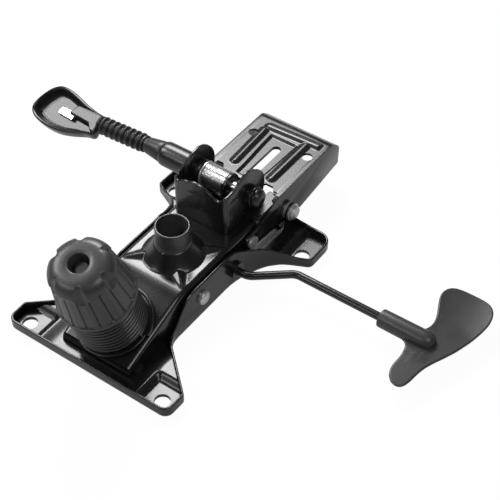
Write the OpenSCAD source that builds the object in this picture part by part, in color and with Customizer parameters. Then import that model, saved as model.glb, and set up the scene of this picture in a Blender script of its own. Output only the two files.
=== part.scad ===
// Office chair tilt mechanism, lying on its seat face.
// The origin is on the gas spring axis at the seat face. +Z points away from the seat,
// +X points to the gas lever and +Y to the back bracket.

/* [Seat plate] */
// Width over the four ears
seat_w = 187; // [180:1:200]
// Distance from the gas spring axis to the front and rear edges
seat_reach = 131; // [127:1:136]
// Sheet thickness of the seat plate
seat_t = 2.5; // [2:0.25:3]
// Height of the turned-up rim
rim_h = 13; // [11:0.5:15]
// Height of the flanges at the waist
flange_h = 42; // [39:0.5:43]
// Distance between the outer faces of the waist flanges
waist_w = 88; // [88:0.5:89]
// Sideways spacing of the seat bolts
bolt_dx = 155; // [150:1:160]
// Front to rear spacing of the seat bolts
bolt_dy = 218; // [210:1:222]
// Diameter of the seat bolt holes
bolt_hole_d = 15; // [8:0.5:16]

/* [Pivots] */
// Distance of the main pivot in front of the gas spring axis
main_y = 14.5; // [12:0.5:17]
// Height of the main pivot
main_z = 24.7; // [23:0.1:27]
// Distance of the rear pivot behind the gas spring axis
rear_y = 124.5; // [122:0.5:126]
// Height of the rear pivot
rear_z = 27; // [25:0.5:29]
// Distance of the link pin behind the gas spring axis
link_y = 64.5; // [62:0.5:66]
// Height of the link pin
link_z = 31; // [30:0.5:33]
// Diameter of the pivot pins
pivot_d = 10; // [8:0.5:11]
// Radial running clearance of the pivots and bushes
run_gap = 0.06; // [0.03:0.01:0.09]
// Radial clearance of the link pin, which lets the two arcs differ
link_gap = 0.4; // [0.3:0.05:0.6]
// Sideways clearance between parts that turn on each other
side_gap = 0.1; // [0.08:0.01:0.15]

/* [Tilt body] */
// Outer width of the folded channel
body_w = 78; // [76:1:79]
// Sheet thickness of the channel
body_t = 3; // [2.5:0.25:3]
// Height of the channel's flat top
body_top = 45; // [44:0.5:46]
// Slope of the front ramp in degrees
ramp_angle = 20.7; // [19.5:0.1:21.5]
// Front end of the channel, in front of the gas spring axis
body_front = 116; // [112:1:118]
// Rear end of the channel, behind the gas spring axis
body_rear = 78; // [76:0.5:80]
// Lower edge of the channel's side walls
body_low = 9; // [8.5:0.5:11]
// Height of the pressed dome above the channel's top
dome_h = 17; // [14:0.5:19]

/* [Gas socket] */
// Outer diameter of the socket tube
tube_d = 33; // [32.5:0.5:35]
// Lower end of the socket tube
tube_low = 18; // [17.5:0.5:19]
// Mouth of the socket tube
tube_top = 80; // [74:1:84]
// Diameter of the tapered bore at the mouth
taper_d = 29; // [28.5:0.1:29.2]
// Half angle of the taper in degrees
taper_half = 0.72; // [0.6:0.01:0.8]

/* [Tension spring and knob] */
// Tilt of the tension bolt toward the front in degrees
knob_tilt = 17.5; // [16.5:0.5:18.5]
// Crown centre, in front of the gas spring axis
knob_y = 121.6; // [120:0.2:123]
// Height of the crown centre
knob_z = 133.6; // [131:0.2:135]
// Length of the knob along the bolt
knob_len = 55; // [52:0.5:57]
// Radius of the knob at its shoulder
knob_r = 30.5; // [29.5:0.25:31.5]
// Radius of the knob at its lower edge
knob_foot_r = 36.9; // [36.5:0.1:38]
// Number of scallops round the knob's crown
knob_scallops = 6; // [5:1:8]
// Number of grooves round the knob's skirt
knob_grooves = 18; // [12:1:20]
// Diameter of the tension bolt
bolt_d = 12; // [10:0.5:12]
// Outer diameter of the main spring
spring_d = 67.2; // [64:0.2:67.4]
// Wire diameter of the main spring
spring_wire = 4.5; // [4:0.1:4.5]
// Pitch of the main spring
spring_pitch = 5.2; // [5.1:0.1:5.8]

/* [Lock bracket and shaft] */
// Height of the lock shaft
shaft_z = 70; // [68:0.5:71]
// Distance of the lock shaft behind the gas spring axis
shaft_y = 83; // [82:0.5:84]
// Diameter of the lock shaft
shaft_d = 11; // [9:0.5:11]
// Left outer face of the bracket
lock_left = 35; // [34:0.5:36]
// Right outer face of the bracket
lock_right = 27; // [26:0.5:28]
// Front face of the bracket, behind the gas spring axis
lock_front = 44.6; // [44.4:0.2:46]
// Radius of the rounded ears round the shaft
ear_r = 25; // [22:0.5:25.5]
// Height of the front wall at the right ear
lock_h = 86; // [82:0.5:88]
// Sheet thickness of the bracket
lock_t = 3; // [2.5:0.25:3.5]
// Diameter of the cross spring on the shaft
cross_spring_d = 24; // [22:0.5:25]
// Wire diameter of the cross spring
cross_wire = 1; // [0.8:0.05:1]
// Pitch of the cross spring
cross_pitch = 1.45; // [1.45:0.05:1.8]
// Outer diameter of the bellows ribs
bellows_d = 19.4; // [18:0.2:21]
// Number of bellows ribs
bellows_ribs = 8; // [6:1:10]
// Length of the bellows
bellows_len = 60; // [54:1:66]
// Angle of the left handle round its shaft in degrees
handle_roll = 30; // [20:1:40]
// Length of the left handle
handle_len = 82; // [74:1:88]

/* [Gas lever] */
// Diameter of the lever rod
rod_d = 8; // [7:0.5:9]
// Distance of the rod behind the gas spring axis
rod_y = 34.5; // [34:0.5:36]
// Height of the rod
rod_z = 20; // [19.5:0.5:21]
// Offset of the rod's outer stretch from its axis
rod_offset = 28.5; // [26:0.5:31]
// Reach of the lever from the gas spring axis
rod_reach = 243; // [236:1:250]
// Thickness of the paddle
paddle_t = 4.5; // [4:0.5:6]

/* [Back bracket] */
// Outer width of the back bracket
back_w = 86; // [86:0.2:86.4]
// Sheet thickness of the back bracket
back_t = 2.5; // [2:0.25:3]
// Height of its flat top
back_top = 55; // [54:0.5:58]
// Rear end, behind the gas spring axis
back_reach = 216; // [208:1:222]
// Front edge of the top, behind the gas spring axis
back_front = 111; // [110.5:0.5:113]
// Spacing of the two rear bolt holes
back_dx = 65; // [60:1:67]
// Distance of the rear bolt holes behind the gas spring axis
back_hole_y = 173; // [168:1:178]
// Diameter of the rear bolt holes
back_hole_d = 11; // [8:0.5:12]
// Width of the centre slot
slot_w = 10; // [8:0.5:12]

/* [Hidden] */
$fn = 64;

function unit(v) = v / norm(v);
function flat(p) = [p[0], p[1]];
function corner(a, b, c, n) =
  let (
    r = b[2],
    ua = unit(flat(a) - flat(b)),
    ub = unit(flat(c) - flat(b)),
    half = acos(max(-1, min(1, ua * ub))) / 2
  )
  r < 0.01 || half > 89.5 ? [flat(b)] :
  let (
    t = min(r / tan(half), 0.49 * min(norm(flat(a) - flat(b)), norm(flat(c) - flat(b)))),
    rr = t * tan(half),
    centre = flat(b) + unit(ua + ub) * rr / sin(half),
    s = flat(b) + ua * t - centre,
    e = flat(b) + ub * t - centre,
    a0 = atan2(s[1], s[0]),
    da = atan2(e[1], e[0]) - a0,
    d = da > 180 ? da - 360 : da < -180 ? da + 360 : da
  )
  [for (i = [0:n]) centre + rr * [cos(a0 + d * i / n), sin(a0 + d * i / n)]];
function rounded(p, n = 5) =
  [for (i = [0:len(p) - 1]) each corner(p[(i + len(p) - 1) % len(p)], p[i], p[(i + 1) % len(p)], n)];
function left_of(v) = [-v[1], v[0]];
function inset(p, d) =
  let (n = len(p))
  [for (i = [0:n - 1])
    let (
      n1 = left_of(unit(p[i] - p[(i + n - 1) % n])),
      n2 = left_of(unit(p[(i + 1) % n] - p[i])),
      m = unit(n1 + n2)
    )
    p[i] + m * d / (m * n1)];
function bar_outline(p, q, w) =
  let (u = unit(q - p) * w, n = left_of(u), r = 0.98 * w)
  rounded([concat(p - u - n, r), concat(q + u - n, r), concat(q + u + n, r), concat(p - u + n, r)], 4);
function mirrored(p) = [for (i = [len(p) - 1:-1:0]) [-p[i][0], p[i][1], p[i][2]]];

// Derived sizes of the seat plate
ear_x = seat_w / 2;
flange_x = waist_w / 2;
mount_y1 = -118;
mount_y2 = mount_y1 + bolt_dy;
half_pan = [
  [ear_x - 0.5, -seat_reach, 9], [ear_x, -107, 5], [flange_x, -63, 22], [flange_x, 38, 80],
  [60, 76, 45], [ear_x, 92, 7], [ear_x, seat_reach, 14]
];
pan = rounded(concat(half_pan, mirrored(half_pan)));
rim_profile = rounded([
  [-seat_reach - 5, -1, 0], [seat_reach + 5, -1, 0], [seat_reach + 5, rim_h, 0], [87, rim_h, 8],
  [66, (rim_h + flange_h) / 2, 40], [34, flange_h, 14], [-55, flange_h, 8], [-67.5, rim_h, 4],
  [-seat_reach - 5, rim_h, 0]
]);
pin_r = pivot_d / 2;
bush_r = pin_r + run_gap;
bush_wall = 1.4;
wall_r = bush_r + bush_wall;
flange_in = flange_x - seat_t;
bush_proud = 5;
head_t = 2.5;

// Derived sizes of the tilt body
body_x = body_w / 2;
crease_y = -38;
ramp_end = body_top - (body_front + crease_y) * tan(ramp_angle);
ramp_drop = body_t / cos(ramp_angle);
dome_z = body_top + dome_h;
ridge_in = 12;
ridge_len = 34;
ridge_r = 9;
tube_r = tube_d / 2;
weld_gap = 0.05;

// Derived sizes along the tension bolt, s is the distance below the crown
washer_s = knob_len - 9;
washer_t = 2;
spring_r = (spring_d - spring_wire) / 2;
spring_play = 0.1;
spring_top_s = washer_s + washer_t + spring_play;
seat_s = 108;
seat_ring_t = 2.5;
spring_turns = (seat_s - spring_play - spring_top_s - 2 * spring_wire - 2 * spring_wire * sin(45)) / spring_pitch;
saddle_s = 122;
saddle_t = 4;
bolt_r = bolt_d / 2;
skirt_in = spring_d / 2 + 0.7;
skirt_out = max(knob_foot_r, skirt_in + 2.6);
shoulder_r = max(knob_r, skirt_in - 4);
groove_len = knob_len - 23;
scallop_turn = 6;

// Derived sizes of the lock
shaft_r = shaft_d / 2;
rod_r = rod_d / 2;
rod_run = 35;
rod_bend = 14;
finger_top = tube_low - 7;
cross_r = (cross_spring_d - cross_wire) / 2;
cross_left = -23;
cross_right = 3;
cross_turns =
  (cross_right - cross_left - 2 * cross_wire - 2 * cross_wire * sin(45)) / cross_pitch;
collar_r = 12.5;
collar_left = -75;
sleeve_left = -97;
bellows_left = sleeve_left - bellows_len;
back_x = back_w / 2;
lug_in = back_x + side_gap + 2.4;
ear_cut = shaft_y + ear_r + 10;
well_x = 13;
well_h = 3.5;
well_end = back_hole_y + 7;
bead_h = 1.5;
beads = [
  [[-21.5, back_front + 16], [-25, back_hole_y + 5], 2.4],
  [[20.5, back_front + 11], [20.5, back_hole_y + 7], 2.9],
  [[-24, back_reach - 27], [32.5, back_reach - 24], 2.5]
];
left_ear_rise = 2.6;

module side(x0, x1) {
  translate([x0, 0, 0]) rotate([90, 0, 90]) linear_extrude(x1 - x0) children();
}
module both() {
  children();
  mirror([1, 0, 0]) children();
}
module rod_x(x0, x1, y, z, r) {
  translate([x0, y, z]) rotate([0, 90, 0]) cylinder(r = r, h = x1 - x0);
}
module ring_x(x0, x1, y, z, r, bore) {
  difference() {
    rod_x(x0, x1, y, z, r);
    rod_x(x0 - 1, x1 + 1, y, z, bore);
  }
}
// A round bar along points in the XY plane, each run cut on the bends' bisecting planes
module mitred_bar(p, r) {
  turn = [for (i = [0:len(p) - 2]) atan2(p[i + 1][1] - p[i][1], p[i + 1][0] - p[i][0])];
  last = len(p) - 2;
  for (i = [0:last]) difference() {
    translate(p[i]) rotate([0, 90, turn[i]])
      translate([0, 0, i == 0 ? 0 : -r])
        cylinder(r = r, h = norm(p[i + 1] - p[i]) + (i == 0 ? 0 : r) + (i == last ? 0 : r));
    if (i > 0) translate(p[i]) rotate([0, 0, (turn[i - 1] + turn[i]) / 2])
      translate([-4 * r, -2 * r, -2 * r]) cube(4 * r);
    if (i < last) translate(p[i + 1]) rotate([0, 0, (turn[i] + turn[i + 1]) / 2])
      translate([0, -2 * r, -2 * r]) cube(4 * r);
  }
}
module lathe_x(x, y, z) {
  translate([x, y, z]) rotate([0, 90, 0]) rotate_extrude() children();
}
module along_bolt() {
  translate([0, -knob_y, knob_z]) rotate([knob_tilt, 0, 0]) children();
}
module disc_s(s0, s1, r) {
  translate([0, 0, -s1]) cylinder(r = r, h = s1 - s0);
}
function on_bolt(y, s) = [
  -knob_y + y * cos(knob_tilt) + s * sin(knob_tilt),
  knob_z + y * sin(knob_tilt) - s * cos(knob_tilt)
];

// Helical wire: each station holds a point, a tangent, the radial direction and a mitre factor
function coil_t(a, r, pitch) = unit([-sin(a) * 2 * PI * r, cos(a) * 2 * PI * r, pitch]);
function coil_stations(r, pitch, turns, wire) =
  let (
    n = ceil(turns * 8),
    a1 = turns * 360,
    t0 = coil_t(0, r, pitch),
    t1 = coil_t(a1, r, pitch),
    up = [0, 0, 1],
    e0 = [1, 0, 0],
    e1 = [cos(a1), sin(a1), 0],
    m0 = unit(t0 + up),
    m1 = unit(t1 + up),
    start = [r, 0, wire + wire * sin(45)],
    rise = pitch * turns,
    finish = [r * cos(a1), r * sin(a1), start[2] + rise],
    k = 1 / cos(22.5)
  )
  concat(
    [
      [start - m0 * wire - up * wire, up, e0, 1],
      [start - m0 * wire, unit(m0 + up), e0, k],
      [start, unit(m0 + t0), e0, k]
    ],
    [for (i = [1:n - 1])
      let (a = a1 * i / n)
      [[r * cos(a), r * sin(a), start[2] + rise * i / n], coil_t(a, r, pitch), [cos(a), sin(a), 0], 1]],
    [
      [finish, unit(m1 + t1), e1, k],
      [finish + m1 * wire, unit(m1 + up), e1, k],
      [finish + m1 * wire + up * wire, up, e1, 1]
    ]
  );
function coil_length(pitch, turns, wire) = pitch * turns + 2 * wire * (1 + sin(45));
module coil(r, pitch, turns, wire) {
  st = coil_stations(r, pitch, turns, wire);
  m = len(st);
  points = [for (s = st) for (j = [0:5])
    s[0] + wire / 2 * (cos(j * 60) * s[2] + s[3] * sin(j * 60) * cross(s[1], s[2]))];
  faces = concat(
    [for (i = [0:m - 2]) for (j = [0:5]) [i * 6 + j, i * 6 + (j + 1) % 6, (i + 1) * 6 + j]],
    [for (i = [0:m - 2]) for (j = [0:5])
      [i * 6 + (j + 1) % 6, (i + 1) * 6 + (j + 1) % 6, (i + 1) * 6 + j]],
    [for (j = [1:4]) [0, j + 1, j]],
    [for (j = [1:4]) [(m - 1) * 6, (m - 1) * 6 + j, (m - 1) * 6 + j + 1]]
  );
  polyhedron(points = points, faces = faces);
}
// Least distance between surface points of stations more than half a turn apart
function ring_points(s, wire) =
  [for (j = [0:5]) s[0] + wire / 2 * (cos(j * 60) * s[2] + s[3] * sin(j * 60) * cross(s[1], s[2]))];
function coil_gap(r, pitch, turns, wire) =
  let (
    st = coil_stations(r, pitch, turns, wire),
    rings = [for (s = st) ring_points(s, wire)],
    m = len(st)
  )
  min([for (i = [0:m - 1]) for (k = [i + 5:1:min(m - 1, i + 12)])
    for (p = rings[i]) for (q = rings[k]) norm(p - q)]);

module seat_plate() color([0.1, 0.1, 0.11]) {
  difference() {
    union() {
      linear_extrude(seat_t) polygon(pan);
      intersection() {
        linear_extrude(flange_h + 1) difference() {
          polygon(pan);
          polygon(inset(pan, seat_t));
        }
        side(-ear_x - 5, ear_x + 5) polygon(rim_profile);
      }
      both() {
        side(lug_in, lug_in + seat_t) union() {
          translate([rear_y, rear_z]) circle(r = 9.5);
          polygon([
            [rear_y - 18, seat_t / 2], [rear_y - 14, 5], [rear_y - 10.5, 12], [rear_y - 9.5, rear_z],
            [rear_y + 9.5, rear_z], [seat_reach - 1, 10], [seat_reach - 1, seat_t / 2]
          ]);
        }
        for (y = [mount_y1, mount_y2])
          translate([bolt_dx / 2, y, seat_t / 2]) cylinder(r = bolt_hole_d / 2 + 4.5, h = 2.6);
      }
    }
    translate([-flange_x - 2, seat_reach - 10, 8]) cube([2 * flange_x + 4, 20, 20]);
    translate([0, 0, -1]) cylinder(r = tube_r + 4, h = seat_t + 2);
    both() {
      rod_x(flange_in - 1, flange_x + 1, -main_y, main_z, pin_r);
      rod_x(flange_in - 1, flange_x + 8, rod_y, rod_z, rod_r + run_gap + 2);
      rod_x(lug_in - 1, lug_in + seat_t + 1, rear_y, rear_z, pin_r);
      for (y = [mount_y1, mount_y2])
        translate([bolt_dx / 2, y, -1]) cylinder(r = bolt_hole_d / 2, h = 8);
    }
  }
}

module main_pivot_pins() color([0.78, 0.78, 0.76]) {
  both() {
    rod_x(body_x - body_t - head_t, flange_x, -main_y, main_z, pin_r - weld_gap);
    rod_x(flange_x, flange_x + head_t, -main_y, main_z, 7);
    rod_x(body_x - body_t - side_gap - head_t, body_x - body_t - side_gap, -main_y, main_z, 7);
  }
}

module rear_pivot_pins() color([0.78, 0.78, 0.76]) {
  both() {
    x0 = back_x - back_t - side_gap - 1.2;
    rod_x(x0 - head_t, lug_in + seat_t + 2, rear_y, rear_z, pin_r - weld_gap);
    rod_x(x0 - head_t - side_gap, x0 - side_gap, rear_y, rear_z, 7.5);
    lathe_x(lug_in + seat_t + 1.5, rear_y, rear_z)
      polygon([[0, 0], [7.5, 0], [7.5, 2], [6.2, 3.6], [4, 4.5], [0, 4.7]]);
  }
}

module pivot_washers() color([0.7, 0.7, 0.69]) {
  both() {
    ring_x(back_x + side_gap, lug_in, rear_y, rear_z, 9, pin_r);
    ring_x(lug_in + seat_t, lug_in + seat_t + 1.5, rear_y, rear_z, 9, pin_r);
  }
}

module bolt_saddle() color([0.12, 0.12, 0.13]) {
  difference() {
    union() {
      along_bolt() translate([-20, -14, -saddle_s - saddle_t]) cube([40, 28, saddle_t]);
      both() {
        side(16, 19) polygon([
          [on_bolt(-12, saddle_s)[0], seat_t], [on_bolt(12, saddle_s)[0], seat_t],
          on_bolt(12, saddle_s + saddle_t / 2), on_bolt(-12, saddle_s + saddle_t / 2)
        ]);
        translate([17.5, on_bolt(-10, saddle_s)[0], seat_t]) cube([11, 19, 3]);
      }
    }
    along_bolt() disc_s(saddle_s - 1, saddle_s + saddle_t + 1, bolt_r + 0.3);
  }
}

module tension_bolt() color([0.6, 0.6, 0.6]) {
  along_bolt() {
    disc_s(8, saddle_s + saddle_t + 1, bolt_r);
    translate([0, 0, -saddle_s - saddle_t - 7]) cylinder(r = 10.4, h = 7, $fn = 6);
  }
}

module lever_bushes() color([0.09, 0.09, 0.1]) {
  both() {
    difference() {
      union() {
        rod_x(flange_in, flange_x + 4, rod_y, rod_z, rod_r + run_gap + 2 - weld_gap);
        difference() {
          rod_x(flange_x, flange_x + bush_proud, rod_y, rod_z, 8.5);
          linear_extrude(flange_h) polygon(pan);
        }
      }
      rod_x(flange_in - 1, flange_x + bush_proud + 1, rod_y, rod_z, rod_r + run_gap);
    }
  }
}

module stop_pads() color([0.08, 0.08, 0.08]) {
  both() translate([body_x - body_t / 2, -104, seat_t]) cylinder(r = 6, h = body_low - seat_t - 0.3);
}

module thrust_washer() color([0.7, 0.7, 0.69]) {
  along_bolt() difference() {
    disc_s(washer_s, washer_s + washer_t, spring_d / 2 - 0.4);
    disc_s(washer_s - 1, washer_s + washer_t + 1, bolt_r + 0.3);
  }
}

module tension_spring() color([0.16, 0.16, 0.17]) {
  along_bolt() translate([0, 0, spring_play - seat_s])
    coil(spring_r, spring_pitch, spring_turns, spring_wire);
}
echo(main_spring_self_gap = coil_gap(spring_r, spring_pitch, spring_turns, spring_wire));  // tension_spring

module tension_knob() color([0.25, 0.25, 0.26]) {
  along_bolt() difference() {
    rotate_extrude() polygon([
      [9.4, 0], [shoulder_r - 10.5, 0], [shoulder_r - 6, -1.2], [shoulder_r - 2.7, -3.6], [shoulder_r - 0.8, -7],
      [shoulder_r, -11], [skirt_out, -knob_len], [skirt_in, -knob_len], [skirt_in, -washer_s + side_gap],
      [27, -washer_s + side_gap], [27, -8], [15, -8], [15, -washer_s + side_gap],
      [bolt_r + 0.3, -washer_s + side_gap], [bolt_r + 0.3, -20], [9.4, -20]
    ]);
    translate([0, 0, -30]) cylinder(r = 11.05, h = 10, $fn = 6);
    for (i = [0:knob_scallops - 1]) rotate([0, 0, scallop_turn + i * 360 / knob_scallops])
      translate([shoulder_r + 3.5, 0, -13]) cylinder(r = 6, h = 20);
    for (i = [0:knob_grooves - 1]) rotate([0, 0, scallop_turn + (i + 0.5) * 360 / knob_grooves])
      translate([skirt_out, 0, -knob_len + 4]) rotate([0, -8.3, 0])
        translate([-0.4, -0.9, 0]) cube([3, 1.8, groove_len]);
  }
}

module knob_nut() color([0.7, 0.7, 0.69]) {
  along_bolt() difference() {
    translate([0, 0, -30]) cylinder(r = 10.97, h = 10, $fn = 6);
    disc_s(19, 31, bolt_r + run_gap);
  }
}

module tilt_body() color([0.1, 0.1, 0.11]) {
  difference() {
    union() {
      side(-body_x, body_x) polygon([
        [-body_front, body_low], [20, body_low], [body_rear, 18], [body_rear, body_top],
        [crease_y, body_top], [-body_front, ramp_end]
      ]);
      along_bolt() disc_s(seat_s + seat_ring_t, seat_s + seat_ring_t + 6, spring_d / 2 - 3);
      rotate_extrude() polygon([
        [tube_r, dome_z], [tube_r + 1.5, dome_z], [tube_r + 2, dome_z - 4], [tube_r + 3.5, dome_z - 8.5],
        [tube_r + 6, dome_z - 12.5], [tube_r + 9.5, body_top + 1.5], [tube_r + 13.5, body_top],
        [tube_r + 13.5, body_top - body_t], [tube_r, body_top - body_t]
      ]);
      for (a = [-140, -40, 40, 140]) translate([0, 0, body_top - 1]) rotate([0, 0, a])
        translate([ridge_in, 0, 0]) rotate([0, 90, 0]) cylinder(r1 = ridge_r, r2 = 0.6, h = ridge_len);
    }
    side(-body_x + body_t, body_x - body_t) polygon([
      [-body_front + body_t, -1], [body_rear + 5, -1], [body_rear + 5, body_top - body_t],
      [crease_y + body_t * tan(ramp_angle / 2), body_top - body_t],
      [-body_front + body_t, ramp_end + body_t * tan(ramp_angle) - ramp_drop]
    ]);
    translate([0, 0, body_low]) cylinder(r = tube_r + weld_gap, h = 80);
    along_bolt() disc_s(seat_s, seat_s + 20, bolt_r + 5);
    both() {
      rod_x(body_x - body_t - 1, body_x + 1, -main_y, main_z, wall_r);
      rod_x(body_x - body_t - 1, body_x + 1, link_y, link_z, pin_r);
      side(body_x - body_t - 1, body_x + 1) polygon(rounded([
        [rod_y - rod_r - 1.5, rod_z - rod_r - 1.5, 3], [rod_y + rod_r + 1.5, rod_z - rod_r - 1.5, 3],
        [rod_y + rod_r + 1.5, rod_z + rod_r + 8.5, 3], [rod_y - rod_r - 1.5, rod_z + rod_r + 8.5, 3]
      ]));
    }
  }
}

module spring_seat() color([0.14, 0.14, 0.15]) {
  along_bolt() difference() {
    union() {
      disc_s(seat_s, seat_s + seat_ring_t, spring_d / 2 + 0.9);
      intersection() {
        disc_s(seat_s - 2, seat_s + seat_ring_t, spring_d / 2 + 4.5);
        translate([-60, 4, -seat_s - 10]) cube([120, 60, 20]);
      }
    }
    intersection() {
      disc_s(seat_s - 5, seat_s, spring_d / 2 + 2.5);
      translate([-60, -60, -seat_s]) cube([120, 120, 10]);
    }
    disc_s(seat_s - 5, seat_s + 5, bolt_r + 5);
  }
}

module gas_socket() color([0.13, 0.13, 0.14]) {
  taper_low = taper_d / 2 - (tube_top - tube_low) * tan(taper_half);
  rotate_extrude() polygon([
    [taper_low, tube_low], [tube_r, tube_low], [tube_r, tube_top - 1], [tube_r - 0.7, tube_top],
    [taper_d / 2 + 0.5, tube_top], [taper_d / 2, tube_top - 0.7]
  ]);
}

module socket_brace() color([0.12, 0.12, 0.13]) {
  difference() {
    union() {
      translate([-body_x + body_t, -24, tube_low + 3])
        cube([2 * (body_x - body_t), 48, body_t]);
      both() difference() {
        translate([body_x - body_t - 3, -24, tube_low + 3]) cube([3, 48, 16]);
        rod_x(0, body_x, -main_y, main_z, 8.5);
      }
    }
    translate([0, 0, tube_low]) cylinder(r = tube_r + weld_gap, h = 20);
    both() rod_x(body_x - body_t - 6, body_x + 1, -main_y, main_z, 8.5);
  }
}

module ear_outline() {
  union() {
    translate([shaft_y, shaft_z]) circle(r = ear_r);
    polygon([
      [lock_front, body_top], [70.5, body_top], [71, body_top + 2], [shaft_y - 8, shaft_z - ear_r + 2],
      [shaft_y, shaft_z], [shaft_y, shaft_z + ear_r + 0.8], [shaft_y - 14, lock_h + 8.3],
      [lock_front + 10.4, lock_h + 4], [lock_front, lock_h]
    ]);
  }
}

module lock_bracket() color([0.1, 0.1, 0.11]) {
  plan = rounded([
    [-lock_left, 140, 0], [-lock_left, lock_front, 6], [lock_right, lock_front, 6], [lock_right, 140, 0]
  ], 6);
  difference() {
    intersection() {
      translate([0, 0, body_top]) linear_extrude(60) difference() {
        polygon(plan);
        polygon(inset(plan, lock_t));
      }
      union() {
        side(-lock_left - 1, lock_right + 1) ear_outline();
        side(-lock_left - 1, 0) translate([shaft_y - 2, shaft_z + left_ear_rise]) circle(r = ear_r);
        translate([0, lock_front + 20, 0]) rotate([90, 0, 0]) linear_extrude(20.01) polygon(rounded([
          [-lock_left - 1, body_top, 0], [lock_right + 1, body_top, 0], [lock_right + 1, lock_h + 1.5, 0],
          [8, lock_h - 6, 14], [-14, lock_h + 3.5, 16], [-lock_left - 1, lock_h - 1.5, 0]
        ]));
      }
    }
    rod_x(-lock_left - 1, -lock_left + lock_t + 1, shaft_y, shaft_z, shaft_r + run_gap);
    rod_x(lock_right - lock_t - 1, lock_right + 1, shaft_y, shaft_z, shaft_r + run_gap + 1.5);
    translate([-60, back_front - 6, 0]) cube([120, 40, back_top + 2.5]);
  }
}

module pivot_bushes() color([0.85, 0.84, 0.8]) {
  both() difference() {
    union() {
      rod_x(body_x - body_t, body_x, -main_y, main_z, wall_r);
      rod_x(body_x, flange_in - side_gap, -main_y, main_z, wall_r + 3);
    }
    rod_x(body_x - body_t - 1, flange_in + 1, -main_y, main_z, bush_r);
  }
}

module link_pins() color([0.78, 0.78, 0.76]) {
  both() {
    rod_x(body_x - body_t - 2, back_x + 0.3, link_y, link_z, pin_r);
    rod_x(back_x + 0.3, back_x + 2.6, link_y, link_z, pin_r + 1.6);
    rod_x(body_x - body_t - 2, body_x - body_t, link_y, link_z, pin_r + 2);
  }
}

module ear_bush() color([0.15, 0.15, 0.16]) {
  difference() {
    union() {
      rod_x(lock_right - lock_t, lock_right, shaft_y, shaft_z, shaft_r + run_gap + 1.5);
      rod_x(lock_right, lock_right + 7, shaft_y, shaft_z, 10.5);
    }
    rod_x(lock_right - lock_t - 1, lock_right + 8, shaft_y, shaft_z, shaft_r + run_gap);
  }
}

module lock_collar() color([0.09, 0.09, 0.1]) {
  ring_x(collar_left, -lock_left, shaft_y, shaft_z, collar_r, shaft_r + run_gap);
}

module lock_shaft() color([0.8, 0.8, 0.79]) {
  rod_x(bellows_left - 22, lock_right + 10, shaft_y, shaft_z, shaft_r);
}

module lock_cam() color([0.1, 0.1, 0.11]) {
  difference() {
    union() {
      lathe_x(-lock_left + lock_t + side_gap, shaft_y, shaft_z) polygon([
        [shaft_r, 0], [12.5, 0], [12.5, 3.5], [11.4, 5.6], [9.4, 7], [shaft_r, 7.4]
      ]);
      side(-lock_left + lock_t + side_gap, -lock_left + lock_t + 5) polygon([
        [shaft_y - 11, shaft_z - 5], [shaft_y - 3, shaft_z - 17], [shaft_y + 4, shaft_z - 16],
        [shaft_y + 11, shaft_z - 5]
      ]);
    }
    rod_x(-60, 60, shaft_y, shaft_z, shaft_r + 0.02);
  }
}

module lock_washer() color([0.75, 0.75, 0.74]) {
  ring_x(cross_left - 1.4, cross_left, shaft_y, shaft_z, cross_spring_d / 2 + 0.6, shaft_r + 0.02);
}

module lock_spring() color([0.8, 0.8, 0.79]) {
  translate([cross_left, shaft_y, shaft_z]) rotate([0, 90, 0])
    coil(cross_r, cross_pitch, cross_turns, cross_wire);
}
echo(cross_spring_self_gap = coil_gap(cross_r, cross_pitch, cross_turns, cross_wire));  // lock_spring

module spring_retainer() color([0.09, 0.09, 0.1]) {
  ring_x(cross_right, cross_right + 3, shaft_y, shaft_z, cross_spring_d / 2, shaft_r + 0.02);
}

module shaft_cap() color([0.1, 0.1, 0.11]) {
  difference() {
    lathe_x(lock_right + 7.3, shaft_y, shaft_z)
      polygon([[0, 0], [9.5, 0], [9.5, 3], [8, 5.6], [5, 7.2], [0, 7.8]]);
    rod_x(0, lock_right + 10, shaft_y, shaft_z, shaft_r + 0.02);
  }
}

module lock_sleeve() color([0.09, 0.09, 0.1]) {
  difference() {
    lathe_x(sleeve_left, shaft_y, shaft_z)
      polygon([
        [0, 0], [bellows_d / 2 - 1, 0], [bellows_d / 2 - 1, 4], [collar_r - 0.5, 12],
        [collar_r - 0.5, collar_left - sleeve_left - 0.3], [0, collar_left - sleeve_left - 0.3]
      ]);
    rod_x(-300, 60, shaft_y, shaft_z, shaft_r + 0.02);
  }
}

module lock_bellows() color([0.08, 0.08, 0.09]) {
  rib = (bellows_len - 6) / bellows_ribs;
  top = bellows_d / 2;
  low = top - 2.7;
  outer = concat(
    [[top - 1, 0.3], [top - 1, 3], [low, 3]],
    [for (i = [0:bellows_ribs - 1]) for (k = [0:3])
      [k == 1 || k == 2 ? top : low, 3 + rib * (i + [0.05, 0.35, 0.7, 0.98][k])]],
    [[low, bellows_len - 3], [top - 1, bellows_len - 3], [top - 1, bellows_len - 0.3]]
  );
  bore = shaft_r + 0.1;
  lathe_x(bellows_left, shaft_y, shaft_z)
    polygon(concat(outer, [[bore, bellows_len - 0.3], [bore, 0.3]]));
}

module in_handle() {
  translate([bellows_left, shaft_y, shaft_z]) rotate([handle_roll, 0, 0]) children();
}

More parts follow.
